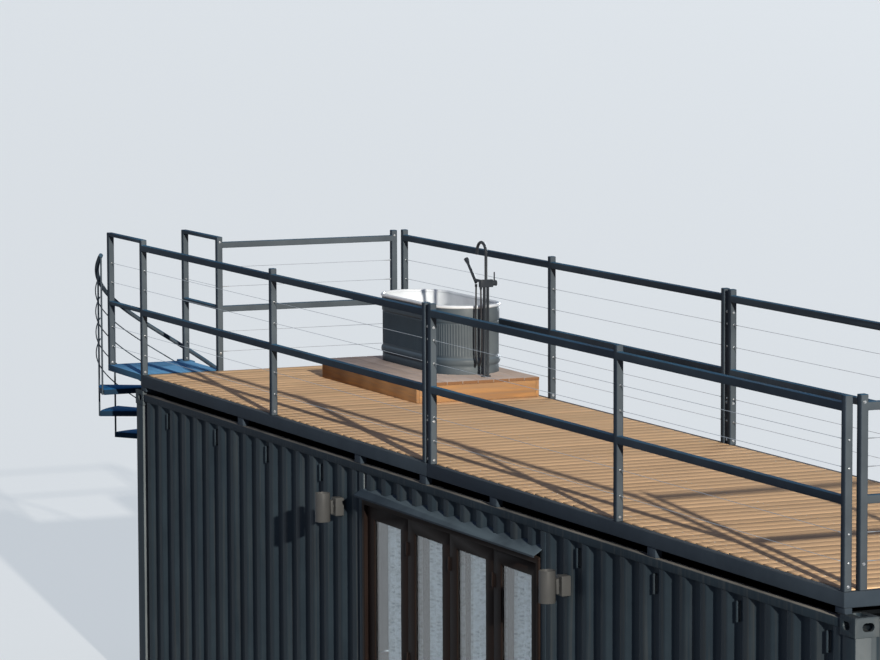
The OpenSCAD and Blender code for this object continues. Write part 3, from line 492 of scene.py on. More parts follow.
def timber(name, scale, across, start, pitch, light, dark, weathered, age, end_grain=None):
    material, tree, shader = new_material(name)
    place = own_place(tree)
    from_start = math_node(tree, "SUBTRACT", split(tree, place)[across], start)
    board = place_group(tree, wood_group, {
        "Vector": stretch(tree, place, scale), "Light": light, "Dark": dark,
        "Board": math_node(tree, "DIVIDE", from_start, pitch), "Weathered": weathered, "Age": age,
    })
    colour = board["Color"]
    if end_grain:
        cut_end = ramp(tree, math_node(tree, "ABSOLUTE", facing(tree)["X"]), 0.5, 0.9)
        colour = mix_colors(tree, cut_end, colour, end_grain)
    fill_in(tree, shader, {
        "Base Color": colour, "Roughness": board["Roughness"],
        "Normal": bump(tree, board["Height"], timber_bump, 0.0015), "Specular IOR Level": 0.0,
    })
    return material


along_x, along_y = (2.2, 46, 46), (46, 2.2, 46)
deck_timber = timber("deck_timber", along_y, "X", deck_low.x, plank_pitch,
                     (0.92, 0.63, 0.37), (0.65, 0.41, 0.21), (0.74, 0.58, 0.42), 0.3)
plinth_timber = timber("plinth_timber", along_x, "Y", plinth_low.y, slat_pitch,
                       (0.62, 0.50, 0.42), (0.34, 0.26, 0.21), (0.56, 0.50, 0.47), 0.75,
                       end_grain=(0.20, 0.105, 0.055))
skirt_looks = ((0.48, 0.265, 0.115), (0.19, 0.09, 0.036), (0.34, 0.25, 0.17), 0.35)
skirt_timber = timber("plinth_skirt", along_x, "Z", 0.0, 2.0, *skirt_looks)
skirt_end_timber = timber("plinth_skirt_end", along_y, "Z", 0.0, 2.0, *skirt_looks)
floor_timber = timber("floor_timber", (2.2, 30, 30), "Y", -3.0, 0.4,
                      (0.42, 0.29, 0.18), (0.30, 0.19, 0.11), (0.36, 0.3, 0.24), 0.2)
print("planks", plank_count, "pitch", round(plank_pitch, 4))

# %% [markdown]
# The panes are clear glass. The curtains are pale lace, so their colour is darker in rows
# of small round holes, which a texture of cells lays out over the width and the height.

# %% Glass and lace
glass, tree, shader = new_material("door_glazing")
fill_in(tree, shader, {"Base Color": (0.86, 0.90, 0.91), "Roughness": 0.02,
                       "Transmission Weight": 1.0, "IOR": 1.5})

cloth, tree, shader = new_material("curtain_cloth")
place = own_place(tree)
weave = noise(tree, stretch(tree, place, (900, 900, 900)), 1.0, 2.0, 0.6)
slub = noise(tree, stretch(tree, place, (26, 26, 44)), 1.0, 4.0, 0.7)
holes = tree.nodes.new("ShaderNodeTexVoronoi")
fill_in(tree, holes, {"Vector": stretch(tree, place, (18, 0, 34), (0, 0.5, 0)),
                      "Scale": 1.0, "Randomness": 0.35})
round_holes = ramp(tree, holes.outputs["Distance"], 0.12, 0.42)
thread = times(tree, round_holes, ramp(tree, slub, 0.2, 0.55))
fill_in(tree, shader, {
    "Base Color": mix_colors(tree, thread, (0.10, 0.14, 0.18), (0.46, 0.54, 0.61)),
    "Roughness": 0.9, "Sheen Weight": 0.3, "Normal": bump(tree, weave, 0.3, 0.0008),
})
print("materials", len(bpy.data.materials))

# %% [markdown]
# ## Steel parts
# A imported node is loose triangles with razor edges. Real tube and folded sheet have small
# radii that catch the light. So each steel node is copied, its double points are merged,
# its flat triangles are joined, and its edges get a small bevel. The copy then stands for
# the node.

# %% Helpers for copied nodes
same_point, same_flat, bevel_angle, smooth_angle = 0.00002, 0.6, 35, 38


def settle(piece, name, material, slot, *stood_for):
    piece.name = name
    piece.data.name = name
    piece.data.materials.clear()
    piece.data.materials.append(material)
    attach(piece, "root")
    if stood_for:
        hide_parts(*stood_for)
    print(name, len(piece.data.polygons), "faces")
    return piece


def own_copy(source):
    """A copy with its own mesh, which alone is selected."""
    deselect()
    piece = source.copy()
    piece.data = source.data.copy()
    bpy.context.scene.collection.objects.link(piece)
    choose(piece)
    return piece


def merge_points(distance):
    bpy.ops.object.mode_set(mode="EDIT")
    bpy.ops.mesh.select_all(action="SELECT")
    bpy.ops.mesh.remove_doubles(threshold=distance)


def merged_copy(node):
    piece = own_copy(nodes[node])
    piece.parent = None
    for key in [k for k in piece.keys() if k.startswith("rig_")]:
        del piece[key]
    merge_points(same_point)
    bpy.ops.mesh.dissolve_limited(angle_limit=math.radians(same_flat))
    bpy.ops.object.mode_set(mode="OBJECT")
    return piece


def smooth_below(degrees):
    bpy.ops.object.shade_smooth_by_angle(angle=math.radians(degrees))


def round_edges(piece, width, segments=2):
    edge = piece.modifiers.new("edge", "BEVEL")
    edge.width = width
    edge.segments = segments
    edge.limit_method = "ANGLE"
    edge.angle_limit = math.radians(bevel_angle)
    choose(piece)
    bpy.ops.object.modifier_apply(modifier="edge")
    smooth_below(smooth_angle)


def rounded(node, material, slot, width):
    piece = merged_copy(node)
    round_edges(piece, width)
    settle(piece, node + "_steel", material, slot, node)


# %% Round the edges of the steelwork
edge_widths = {
    "base_frame": 0.004, "corner_posts": 0.006, "corner_castings": 0.007, "top_rails": 0.006,
    "lashing_bars": 0.003, "door_posts": 0.005, "door_flashing": 0.001, "deck_stubs": 0.004,
    "deck_frame": 0.006, "front_rail_left": 0.005, "front_rail_right": 0.005,
    "back_rail_left": 0.005, "back_rail_right": 0.005, "end_rail_left": 0.005,
    "end_rail_right": 0.005, "landing_guards": 0.005, "stair_column": 0.003,
    "stair_balusters": 0.001,
}
paint_of = {
    "base_frame": wall_paint, "corner_castings": wall_paint, "lashing_bars": wall_paint,
    "corner_posts": sunlit_post_paint, "door_posts": sunlit_post_paint, "top_rails": top_rail_paint,
    "door_flashing": flashing_paint, "deck_stubs": frame_paint, "deck_frame": frame_paint,
}
for node, width in edge_widths.items():
    rounded(node, paint_of.get(node, rail_paint), "container_paint", width)
rounded("landing", sunlit_landing_paint, "stair_paint", 0.002)
rounded("stair_treads", shaded_tread_paint, "stair_paint", 0.002)
for node in ("door_leaf_1", "door_leaf_2", "door_leaf_3", "door_leaf_4", "door_frame"):
    rounded(node, door_paint, "door_paint", 0.003)
rounded("curtain_track", track_metal, "track_metal", 0.002)
rounded("tub_filler", black_metal, "filler_black", 0.002)

# %% [markdown]
# The wall sheet is pressed, so its bends are soft curves. Only the upright edges between
# two flats are rounded here. The thin edges of the sheet stay sharp, because a bevel
# wider than the sheet would eat it away.

# %% Round the bends of the corrugated walls
bend_width, least_bend, most_bend = 0.012, 0.2, 1.2


def pressed(node):
    piece = merged_copy(node)
    bpy.ops.object.mode_set(mode="EDIT")
    bpy.ops.mesh.select_all(action="DESELECT")
    skin = bmesh.from_edit_mesh(piece.data)
    for edge in skin.edges:
        along = (edge.verts[1].co - edge.verts[0].co).normalized()
        if abs(along.z) > 0.99 and len(edge.link_faces) == 2:
            edge.select = least_bend < edge.calc_face_angle(0) < most_bend
    bmesh.update_edit_mesh(piece.data)
    bpy.ops.mesh.bevel(offset=bend_width, segments=3, profile=0.5)
    bpy.ops.object.mode_set(mode="OBJECT")
    smooth_below(40)
    settle(piece, node + "_sheet", wall_paint, "container_paint", node)


for node in ("front_wall_left", "front_wall_right", "front_wall_over_door", "back_wall",
             "end_walls"):
    pressed(node)

# %% [markdown]
# The roof sheet, the floor, the panes and the cables have the right shape as they are, so
# they only get a better finish. The roof's near-black paint is painted shade under the deck.

# %% Give the remaining nodes their finishes
for node, material in (("roof_sheet", roof_shade_paint), ("floor_boards", floor_timber),
                       ("door_glass", glass), ("rail_cables", cable_wire)):
    nodes[node].data.materials.clear()
    nodes[node].data.materials.append(material)
    print(node, "gets", material.name)

# %% [markdown]
# ## Deck boards
# The deck is laid with boards that run across the container and end flush against the
# steel edge beams. One board is modelled and an array repeats it. The ends of real boards
# are never quite in line, so each end is drawn in by up to two millimetres.

# %% Helpers for blocks and rows


def apply_place():
    bpy.ops.object.transform_apply(location=True, rotation=True, scale=True)


def block(low, high, edge, segments=2):
    """A box between two corners, with rounded edges."""
    deselect()
    centre = [(a + b) / 2 for a, b in zip(low, high)]
    bpy.ops.mesh.primitive_cube_add(size=1.0, location=centre)
    box = bpy.context.object
    box.scale = [b - a for a, b in zip(low, high)]
    apply_place()
    round_edges(box, edge, segments)
    return box


def repeat(piece, count, step):
    copies = piece.modifiers.new("copies", "ARRAY")
    copies.use_relative_offset = False
    copies.use_constant_offset = True
    copies.constant_offset_displace = step
    copies.count = count
    choose(piece)
    bpy.ops.object.modifier_apply(modifier="copies")


# %% Lay the deck
half_gap, most_slip = 0.003 / 2, 0.002
planks = block((deck_low.x + half_gap, deck_low.y, deck_low.z),
               (deck_low.x + plank_pitch - half_gap, deck_high.y, deck_high.z), 0.003)
repeat(planks, plank_count, (plank_pitch, 0, 0))
for vertex in planks.data.vertices:
    k = int((vertex.co.x - deck_low.x) / plank_pitch)
    slip = most_slip / 2 * (math.sin(k * 12.9898) - 1)
    vertex.co.y += slip if vertex.co.y > 0 else -slip * math.cos(k * 4.1) ** 2
settle(planks, "deck_planks", deck_timber, "deck_timber", "deck_boards")

# %% [markdown]
# The plinth under the tub is a low frame of boards with slats on top, greyed by weather.
# The boards of the frame stand 4 mm back from the ends of the slats.

# %% Build the plinth
slat_thick, skirt_thick, set_back, touch = 0.025, 0.026, 0.004, 0.001


def join(pieces):
    deselect()
    for piece in reversed(pieces):
        choose(piece)
    bpy.ops.object.join()
    return bpy.context.object


slats = block((plinth_low.x, plinth_low.y + 0.002, plinth_high.z - slat_thick),
              (plinth_high.x, plinth_low.y + slat_pitch - 0.003, plinth_high.z), 0.003)
repeat(slats, slat_count, (0, slat_pitch, 0))
x0, x1 = plinth_low.x + set_back, plinth_high.x - set_back
y0, y1 = plinth_low.y + set_back, plinth_high.y - set_back
z0, z1 = plinth_low.z + touch, plinth_high.z - slat_thick - touch
inner_y0, inner_y1 = y0 + skirt_thick + touch, y1 - skirt_thick - touch
long_boards = [block((x0, y0, z0), (x1, y0 + skirt_thick, z1), 0.003),
               block((x0, y1 - skirt_thick, z0), (x1, y1, z1), 0.003)]
end_boards = [block((x0, inner_y0, z0), (x0 + skirt_thick, inner_y1, z1), 0.003),
              block((x1 - skirt_thick, inner_y0, z0), (x1, inner_y1, z1), 0.003)]
settle(slats, "plinth_slats", plinth_timber, "plinth_timber", "tub_plinth")
settle(join(long_boards), "plinth_long_boards", skirt_timber, "plinth_timber")
settle(join(end_boards), "plinth_end_boards", skirt_end_timber, "plinth_timber")

# %% [markdown]
# ## Spiral rails
# A handrail on a spiral stair is one round tube that turns and drops at a steady rate.
# The screw modifier makes exactly that from a circle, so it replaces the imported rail,
# whose sides are flat.

# %% Turn the handrail and the line rails
column_x, column_y = -6.8705 + offset_x, -0.50 + offset_y
hand_radius, hand_thick, line_radius, line_thick = 0.739, 0.038, 0.7532, 0.010
rise, turn_angle, treads, steps_a_tread, start_angle = 0.227417, 27.5, 11, 8, 269
landing_top, line_step = 2.729, 0.18
hand_top = landing_top + 0.934


def recalculate_normals(inside=False):
    bpy.ops.mesh.select_all(action="SELECT")
    bpy.ops.mesh.normals_make_consistent(inside=inside)
    bpy.ops.object.mode_set(mode="OBJECT")


def helix_tube(radius, thick, top, sides):
    slope = math.atan(rise / (math.radians(turn_angle) * radius))
    deselect()
    bpy.ops.mesh.primitive_circle_add(vertices=sides, radius=thick / 2, location=(radius, 0, 0),
                                      rotation=(slope - math.pi / 2, 0, 0))
    bar = bpy.context.object
    apply_place()
    bar.location = (column_x, column_y, top)
    bar.rotation_euler = (0, 0, math.radians(start_angle))
    spiral = bar.modifiers.new("spiral", "SCREW")
    spiral.angle = -math.radians(turn_angle * treads)
    spiral.screw_offset = -rise * treads
    spiral.steps = spiral.render_steps = steps_a_tread * treads
    bpy.ops.object.modifier_apply(modifier="spiral")
    apply_place()
    merge_points(same_point)
    bpy.ops.mesh.fill_holes(sides=0)
    recalculate_normals()
    smooth_below(40)
    return bar


handrail = helix_tube(hand_radius, hand_thick, hand_top, 20)
settle(handrail, "handrail_tube", rail_paint, "stair_paint", "stair_handrail")
line_rails = [helix_tube(line_radius, line_thick, hand_top - line_step * k, 10)
              for k in range(1, 5)]
settle(join(line_rails), "line_rail_bars", rail_paint, "stair_paint", "stair_line_rails")

# %% [markdown]
# ## Tub
# The shell is a swaged steel stock tank. A plain upper band stands a little proud, fine
# upright flutes run below it, and a rounded bead goes round near the foot. A circle is
# laid out on the tub's outline, extruded up level by level, and set in or out at each.

# %% Helpers for an oval skin
tub_middle = Vector((-4.24 + offset_x, 0.77 + offset_y, 2.888))
tub_straight, tub_radius = 0.46, 0.291


def oval_ring(count, grow):
    """Even places round two straights and two half circles, grown outwards by a distance."""
    total = 4 * tub_straight + 2 * math.pi * tub_radius
    ring = []
    for k in range(count):
        d = total * k / count
        turn = (d - 2 * tub_straight) / tub_radius - math.pi / 2
        back = (d - 4 * tub_straight - math.pi * tub_radius) / tub_radius + math.pi / 2
        r = tub_radius + grow
        if d < 2 * tub_straight:
            ring.append((-tub_straight + d, -r))
        elif turn < math.pi / 2:
            ring.append((tub_straight + r * math.cos(turn), r * math.sin(turn)))
        elif back < math.pi / 2:
            ring.append((3 * tub_straight + math.pi * tub_radius - d, r))
        else:
            ring.append((-tub_straight + r * math.cos(back), r * math.sin(back)))
    return ring


def oval_skin(count, levels):
    """A circle that is extruded through levels of height, growth and flute depth."""
    deselect()
    bpy.ops.mesh.primitive_circle_add(vertices=count, radius=1.0, location=(0, 0, 0))
    skin = bpy.context.object
    bpy.ops.object.mode_set(mode="EDIT")
    for step, (height, grow, flute) in enumerate(levels):
        if step:
            bpy.ops.mesh.extrude_region_move(TRANSFORM_OT_translate={"value": (0, 0, 0.01)})
        shell = bmesh.from_edit_mesh(skin.data)
        outer, inner = oval_ring(count, grow), oval_ring(count, grow - flute)
        for k, vertex in enumerate([v for v in shell.verts if v.select]):
            x, y = outer[k] if k % 4 < 2 else inner[k]
            vertex.co = tub_middle + Vector((x, y, height))
        bmesh.update_edit_mesh(skin.data)
    return skin


def thicken(piece, thickness):
    wall = piece.modifiers.new("wall", "SOLIDIFY")
    wall.thickness = thickness
    wall.offset = -1
    bpy.ops.object.modifier_apply(modifier="wall")
    smooth_below(50)


# %% Shape the tub's shell
flute_count = 156
shell_levels = [
    (0.0, -0.002, 0), (0.005, 0, 0), (0.055, 0, 0), (0.064, -0.003, 0), (0.072, 0.001, 0),
    (0.080, 0.007, 0), (0.090, 0.010, 0), (0.100, 0.011, 0), (0.110, 0.010, 0),
    (0.120, 0.007, 0), (0.128, 0.001, 0), (0.136, -0.004, 0), (0.146, -0.001, 0),
    (0.156, -0.001, 0.0045), (0.398, -0.001, 0.0045), (0.407, -0.001, 0), (0.413, -0.003, 0),
    (0.420, 0.003, 0), (0.427, 0.004, 0), (0.530, 0.004, 0), (0.537, 0.001, 0),
]
tub_shell = oval_skin(4 * flute_count, shell_levels)
recalculate_normals()
thicken(tub_shell, 0.003)
settle(tub_shell, "tub_fluted_shell", tub_paint, "tub_black", "tub_shell")

# %% [markdown]
# The lining is a white skin inside the shell. It goes down the wall and turns into the
# floor with a round corner, and its top edge is rolled over into a bar all the way round.
# A small drain lies in the floor.

# %% Line the tub
lining_in, corner_radius, corner_top, corner_steps = -0.0103, 0.07, 0.11, 7
lining_levels = [(height, lining_in, 0) for height in (0.540, 0.40, 0.22, corner_top)]
for step in range(1, corner_steps + 1):
    bend = math.radians(90) * step / corner_steps
    lining_levels.append((corner_top - corner_radius * math.sin(bend),
                          lining_in - corner_radius * (1 - math.cos(bend)), 0))
tub_lining = oval_skin(192, lining_levels)
bpy.ops.mesh.edge_face_add()
bpy.ops.mesh.inset(thickness=0.02)
bpy.ops.mesh.inset(thickness=0.12, depth=-0.004)
recalculate_normals(inside=True)
thicken(tub_lining, 0.0014)

# %% Roll its rim
rim_curve = bpy.data.curves.new("rolled_rim", "CURVE")
rim_curve.dimensions = "3D"
rim_curve.bevel_depth = 0.014
rim_curve.bevel_resolution = 5
rim_line = rim_curve.splines.new("POLY")
rim_places = oval_ring(192, 0.0)
rim_line.points.add(len(rim_places) - 1)
rim_line.use_cyclic_u = True
for point, (x, y) in zip(rim_line.points, rim_places):
    point.co = (*(tub_middle + Vector((x, y, 0.546))), 1.0)
rim = new_object("rolled_rim", rim_curve)
deselect()
choose(rim)
bpy.ops.object.convert(target="MESH")
bpy.ops.object.shade_smooth()
lining = join([tub_lining, bpy.context.object])
settle(lining, "tub_white_lining", enamel, "tub_enamel", "tub_liner")

# %% Set the drain


def add_cylinder(radius, depth, location=(0, 0, 0), rotation=(0, 0, 0), sides=32):
    deselect()
    bpy.ops.mesh.primitive_cylinder_add(vertices=sides, radius=radius, depth=depth,
                                        location=location, rotation=rotation)
    return bpy.context.object


def hollow_ends(piece, wall, sink, which=(1, -1)):
    """Sinks the middle of the end faces, which lie across the piece's own Z."""
    bpy.ops.object.mode_set(mode="EDIT")
    for way in which:
        bpy.ops.mesh.select_all(action="DESELECT")
        shell = bmesh.from_edit_mesh(piece.data)
        for face in shell.faces:
            face.select = face.normal.z * way > 0.99
        bmesh.update_edit_mesh(piece.data)
        bpy.ops.mesh.inset(thickness=wall)
        bpy.ops.mesh.extrude_region_move(
            TRANSFORM_OT_translate={"value": (0, 0, -way * sink), "orient_type": "GLOBAL"})
    bpy.ops.object.mode_set(mode="OBJECT")


drain = add_cylinder(0.032, 0.006, tub_middle + Vector((0.0, 0, 0.0415)))
hollow_ends(drain, 0.007, 0.002, which=(1,))
round_edges(drain, 0.0012)
apply_place()
settle(drain, "tub_drain", zinc, "cable_steel")

# %% [markdown]
# ## Wall lamps
# Each lamp throws light up and down from an open barrel, which a short pin and a plate
# hold on a box on the wall. The barrel's ends are inset and sunk to make its wall.

# %% Helpers for separate solids and turned parts
upright, lying_x, lying_y = (0, 0, 0), (0, math.pi / 2, 0), (math.pi / 2, 0, 0)


def islands(node):
    """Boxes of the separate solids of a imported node, from low X to high X."""
    piece = merged_copy(node)
    shell = bmesh.new()
    shell.from_mesh(piece.data)
    bpy.data.objects.remove(piece)
    todo, spans = set(shell.verts), []
    while todo:
        group, stack = [], [todo.pop()]
        while stack:
            here = stack.pop()
            group.append(here.co.copy())
            for edge in here.link_edges:
                there = edge.other_vert(here)
                if there in todo:
                    todo.remove(there)
                    stack.append(there)
        spans.append([Vector([pick(c[k] for c in group) for k in range(3)]) for pick in (min, max)])
    shell.free()
    return sorted(spans, key=lambda span: (round(span[0].x, 3), round(span[0].y, 3), span[0].z))


def turned(radius, depth, location, rotation=upright, sides=20, edge=0.001, segments=2):
    """A round or six-sided bar, with rounded edges unless edge is zero."""
    piece = add_cylinder(radius, depth, location, rotation, sides)
    apply_place()
    if edge:
        round_edges(piece, edge, segments)
    return piece


# %% Build the wall lamps
barrel_radius, barrel_height = 0.056, 0.216
box_x, box_z, box_deep = 0.0475, 0.0675, 0.068
lamp_plate_x, lamp_plate_z, screw_out = 0.033, 0.051, 0.05
lamp_pieces = []
for low, high in islands("wall_lamps"):
    x, y, back_y, z = (low.x + high.x) / 2, low.y + barrel_radius, high.y, (low.z + high.z) / 2
    barrel = add_cylinder(barrel_radius, barrel_height, sides=64)
    hollow_ends(barrel, 0.004, 0.022)
    round_edges(barrel, 0.0012)
    barrel.location = (x, y, z)
    apply_place()
    wall_box = block((x - box_x, back_y - box_deep, z - box_z),
                     (x + box_x, back_y, z + box_z), 0.006, segments=3)
    plate = block((x - lamp_plate_x, y + 0.052, z - lamp_plate_z),
                  (x + lamp_plate_x, back_y - 0.080, z + lamp_plate_z), 0.003)
    pin = turned(0.0095, 0.03, (x, back_y - 0.074, z), lying_y, sides=24, edge=0)
    screws = [turned(0.004, 0.003, (x, back_y - 0.069, z + side), lying_y, sides=12, edge=0)
              for side in (-screw_out, screw_out)]
    lamp_pieces += [barrel, wall_box, plate, pin] + screws
settle(join(lamp_pieces), "wall_lamp_pair", lamp_paint, "container_paint", "wall_lamps")

# %% [markdown]
# ## Railing cables
# Every cable ends in a threaded stud with a nut against its post. One fitting is modelled
# at the origin and copied to both ends of each packed cable, and a cap nut closes the
# stud on the far face of a post that stands free.

# %% Fit the cable ends
tube, half_turn = 0.05, math.pi
twin_post_x, end_post_x = 0.0765, 5.85
nut_radius, fine_edge = 0.0072, 0.0008


def copy_to(pattern, place, quarter=0.0):
    """A copy of a fitting from the origin, turned about Z and moved to its place."""
    made = own_copy(pattern)
    made.rotation_euler = (0, 0, quarter)
    made.location = place
    apply_place()
    return made


stud = join([
    turned(0.0034, 0.05, (0.025, 0, 0), lying_x, 12, fine_edge, 1),
    turned(nut_radius, 0.006, (0.003, 0, 0), lying_x, 6, fine_edge, 1),
    turned(0.0026, 0.016, (0.057, 0, 0), lying_x, 12, fine_edge, 1),
])
cap = turned(nut_radius, 0.008, (-0.004, 0, 0), lying_x, 12, 0.0034, 3)
fittings = []
for low, high in islands("rail_cables"):
    x, y, z = (low + high) / 2
    if high.x - low.x > high.y - low.y:
        fittings.append(copy_to(stud, (low.x, y, z)))
        fittings.append(copy_to(stud, (high.x, y, z), half_turn))
        for end_x, outwards, way in ((low.x, -tube, 0.0), (high.x, tube, half_turn)):
            own_x = end_x - offset_x
            if abs(abs(own_x) - twin_post_x) < 0.01 or own_x > end_post_x:
                fittings.append(copy_to(cap, (end_x + outwards, y, z), way))
    else:
        fittings.append(copy_to(stud, (x, low.y, z), half_turn / 2))
        fittings.append(copy_to(stud, (x, high.y, z), -half_turn / 2))
bpy.data.objects.remove(stud)
bpy.data.objects.remove(cap)
settle(join(fittings), "cable_ends", zinc, "cable_steel")
print("cable fittings", len(fittings))

# %% [markdown]
# ## Bolts
# Hexagon bolts with washers hold the railing's frames to the deck and to each other. One
# bolt is modelled with its head towards +X and copied to the foot of every post and to
# the tall end posts, where the photograph shows bright heads. Where two frames meet, a
# threaded rod joins their posts, with a nut on each side of each post.

# %% Place the railing bolts
deck_top, bolt_proud = deck_high.z, 0.009
foot_z = deck_top + 0.024
end_bolt_up, end_bolt_down, rod_up, rod_down, rod_radius = 0.15, 0.045, 0.30, 0.17, 0.005
rail_pairs = (("front_rail_left", "front_rail_right"), ("back_rail_left", "back_rail_right"))
bolt = join([turned(0.0095, 0.002, (0.001, 0, 0), lying_x, 20, 0.0006, 1),
             turned(nut_radius, 0.006, (0.005, 0, 0), lying_x, 6, 0.0006, 1)])
bolt_places = []
for node in rail_pairs[0] + rail_pairs[1]:
    low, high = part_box(node)
    for x in (low.x + tube, (low.x + high.x) / 2 + tube / 2, high.x):
        bolt_places.append((x, (low.y + high.y) / 2, foot_z))
for node in ("end_rail_left", "end_rail_right"):
    low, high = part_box(node)
    for y in (low.y + tube / 2, high.y - tube / 2):
        for z in (deck_top + end_bolt_up, high.z - end_bolt_down):
            bolt_places.append((high.x, y, z))
low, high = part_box("landing_guards")
for y in (low.y + tube / 2, high.y - tube / 2):
    bolt_places.append((low.x + tube, y, foot_z))
bolts = [copy_to(bolt, place) for place in bolt_places if place[0] + bolt_proud < cad_high.x]
for left, right in rail_pairs:
    left_low, left_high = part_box(left)
    right_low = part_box(right)[0]
    y, gap = (left_low.y + left_high.y) / 2, right_low.x - left_high.x
    for z in (left_high.z - rod_down, deck_top + rod_up):
        for x, way in ((left_high.x - tube, half_turn), (left_high.x, 0.0),
                       (right_low.x, half_turn), (right_low.x + tube, 0.0)):
            bolts.append(copy_to(bolt, (x, y, z), way))
        middle = ((left_high.x + right_low.x) / 2, y, z)
        bolts.append(turned(rod_radius, gap, middle, lying_x, 12, fine_edge, 1))
bpy.data.objects.remove(bolt)
settle(join(bolts), "railing_bolts", zinc, "cable_steel")
print("bolts and rods", len(bolts))

# %% [markdown]
# Two screws hold each deck board on three lines of joist. One row of heads is made with
# an array and copied across the deck, and no head stands more than 0.6 mm proud.

# %% Screw the deck down
screw_in, joist_y, joist_step, proud = 0.04, 1.05, 1.05, 0.0006
screw = turned(0.0042, 0.0012, (deck_low.x + screw_in, -joist_y + offset_y, deck_top),
               sides=8, edge=0.0004, segments=1)
pair = join([screw, copy_to(screw, (plank_pitch - 2 * screw_in, 0, 0))])
repeat(pair, plank_count, (plank_pitch, 0, 0))
repeat(pair, 3, (0, joist_step, 0))
for vertex in pair.data.vertices:
    vertex.co.z = min(vertex.co.z, deck_top + proud)
settle(pair, "deck_screws", zinc, "cable_steel")

# %% [markdown]
# ## Door fittings
# Each pane is sealed by a black rubber gasket. Folding leaves turn on knuckle hinges
# between the stiles, and the last leaf has a lever handle on a long plate.

# %% Seal and hang the leaves
seals, door_metal = [], []
lip, seal_width, hinge_in, just_off = 0.012, 0.007, 0.22, 0.0002
knuckle_radius, knuckle_length, flap_out = 0.0075, 0.1, 0.018
for pane_low, pane_high in islands("door_glass"):
    x0, x1, z0, z1 = pane_low.x + lip, pane_high.x - lip, pane_low.z + lip, pane_high.z - lip
    y0, y1 = pane_low.y - 0.003, pane_low.y - 0.0004
    inner_x0, inner_x1 = x0 + seal_width, x1 - seal_width
    seals += [
        block((x0, y0, z0), (inner_x0, y1, z1), fine_edge),
        block((inner_x1, y0, z0), (x1, y1, z1), fine_edge),
        block((inner_x0, y0, z0), (inner_x1, y1, z0 + seal_width), fine_edge),
        block((inner_x0, y0, z1 - seal_width), (inner_x1, y1, z1), fine_edge),
    ]
leaf_boxes = [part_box(f"door_leaf_{k}") for k in range(1, 5)]
for (low, high), (next_low, _) in zip(leaf_boxes, leaf_boxes[1:]):
    joint_x = (high.x + next_low.x) / 2
    for z in (low.z + hinge_in, (low.z + high.z) / 2, high.z - hinge_in):
        knuckle = turned(knuckle_radius, knuckle_length, (joint_x, low.y - 0.005, z))
        door_metal.append(knuckle)
        for flap_x in (joint_x - flap_out, joint_x + flap_out):
            door_metal.append(block((flap_x - 0.014, low.y - 0.0032, z - 0.045),
                                    (flap_x + 0.014, low.y - just_off, z + 0.045), 0.001))
low, high = leaf_boxes[3]
plate_x, face_y, grip_z = high.x - 0.062, low.y, low.z + 1.0
door_metal += [
    block((plate_x - 0.02, face_y - 0.0072, grip_z - 0.11),
          (plate_x + 0.02, face_y - just_off, grip_z + 0.06), 0.003),
    turned(0.009, 0.034, (plate_x, face_y - 0.022, grip_z), lying_y),
    turned(0.0085, 0.125, (plate_x - 0.054, face_y - 0.034, grip_z), lying_x, edge=0.003),
    turned(0.0085, 0.006, (plate_x, face_y - 0.009, grip_z - 0.07), lying_y),
]
settle(join(seals), "pane_gaskets", seal_rubber, "door_paint")
settle(join(door_metal), "door_hinges_and_handle", door_paint, "door_paint")
print("gaskets", len(seals), "door metal pieces", len(door_metal))

# %% [markdown]
# ## Filler fittings
# The hose is held by a nut at each end. The hand shower flares to a spray face, and the
# valve is worked by a small lever on its knob.

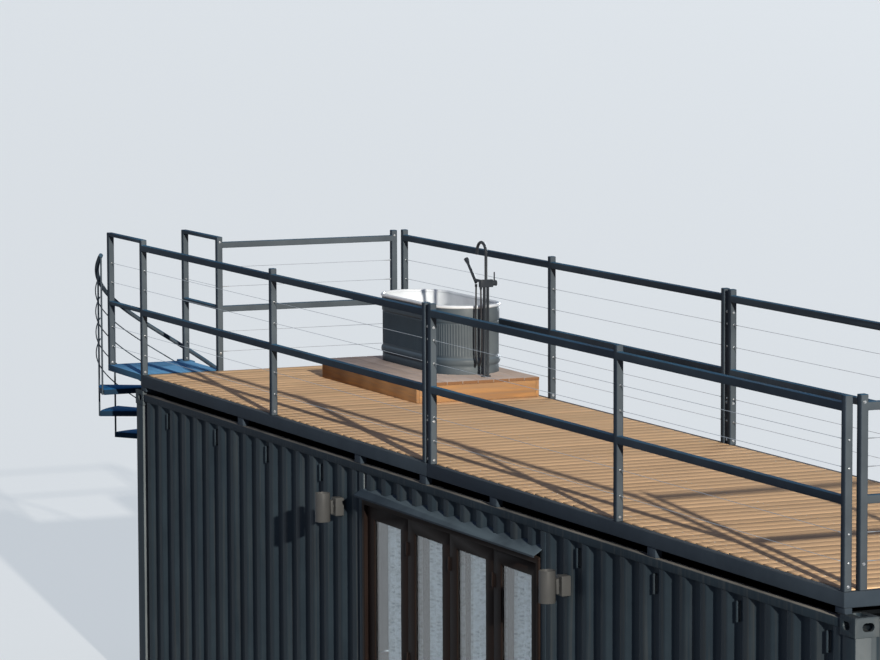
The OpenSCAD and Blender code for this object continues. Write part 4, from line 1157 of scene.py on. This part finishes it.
# %% Finish the tub filler
slant, cradle_x, front_y = math.radians(47), -0.092, -0.045
wand = Vector((-math.sin(slant), 0, math.cos(slant)))
wand_end = valve + Vector((cradle_x, front_y, 0)) + wand * 0.255
fittings = [
    turned(0.0115, 0.022, valve + Vector((0, front_y, -0.036)), sides=6),
    turned(0.0115, 0.022, valve + Vector((cradle_x, front_y, -0.022)), sides=6),
    turned(0.0055, 0.075, valve + Vector((0, 0.073, 0.052)), edge=0.002),
    turned(0.0235, 0.006, valve + Vector((0, 0.087, 0)), lying_y, sides=32),
]
deselect()
bpy.ops.mesh.primitive_cone_add(vertices=28, radius1=0.0125, radius2=0.021, depth=0.05,
                                location=wand_end - wand * 0.022, rotation=(0, -slant, 0))
spray = bpy.context.object
apply_place()
round_edges(spray, 0.002)
settle(join(fittings + [spray]), "filler_fittings", black_metal, "filler_black")
print("filler fittings", len(fittings) + 1)

# %% [markdown]
# ## Curtains
# A drawn curtain hangs from its track in upright folds. Each one is a flat grid whose
# columns are pushed to and fro in waves that grow deeper and less regular towards the hem.

# %% Hang the curtains
folds, columns, rows, hang_in = 6, 72, 26, 0.006


def curtain(low, high, seed):
    deselect()
    bpy.ops.mesh.primitive_grid_add(x_subdivisions=columns, y_subdivisions=rows, size=1.0,
                                    location=(0, 0, 0))
    drape = bpy.context.object
    points = drape.data.vertices
    width, depth, height = high.x - low.x, high.y - low.y, high.z - low.z
    for vertex in points:
        u, v = vertex.co.x + 0.5, vertex.co.y + 0.5
        sway = 0.35 * math.sin(3.1 * u * folds + seed) * (1 - v)
        wave = math.sin(2 * math.pi * folds * u + sway + 0.5 * math.sin(7 * u + seed))
        deep = (0.34 + 0.10 * (1 - v)) * depth * (0.85 + 0.15 * math.sin(5 * u * folds + seed * 3))
        side = 0.004 * math.sin(4 * math.pi * folds * u + 1.0) * (1 - v)
        edge = min(1.0, 12 * min(u, 1 - u))
        vertex.co = (low.x + hang_in + (width - 2 * hang_in) * u + side * edge,
                     (low.y + high.y) / 2 + wave * deep, low.z + height * v)
    fold_length = sum((points[k + 1].co - points[k].co).length for k in range(columns))
    bpy.ops.object.shade_smooth()
    print("curtain cut", round(fold_length, 3), "by", round(height, 3))
    return drape, fold_length, height


for k, (low, high) in enumerate(islands("curtains")):
    piece, fold_length, height = curtain(low, high, 1.7 * k)
    settle(piece, f"curtain_{k + 1}", cloth, "curtain_fabric", "curtains")
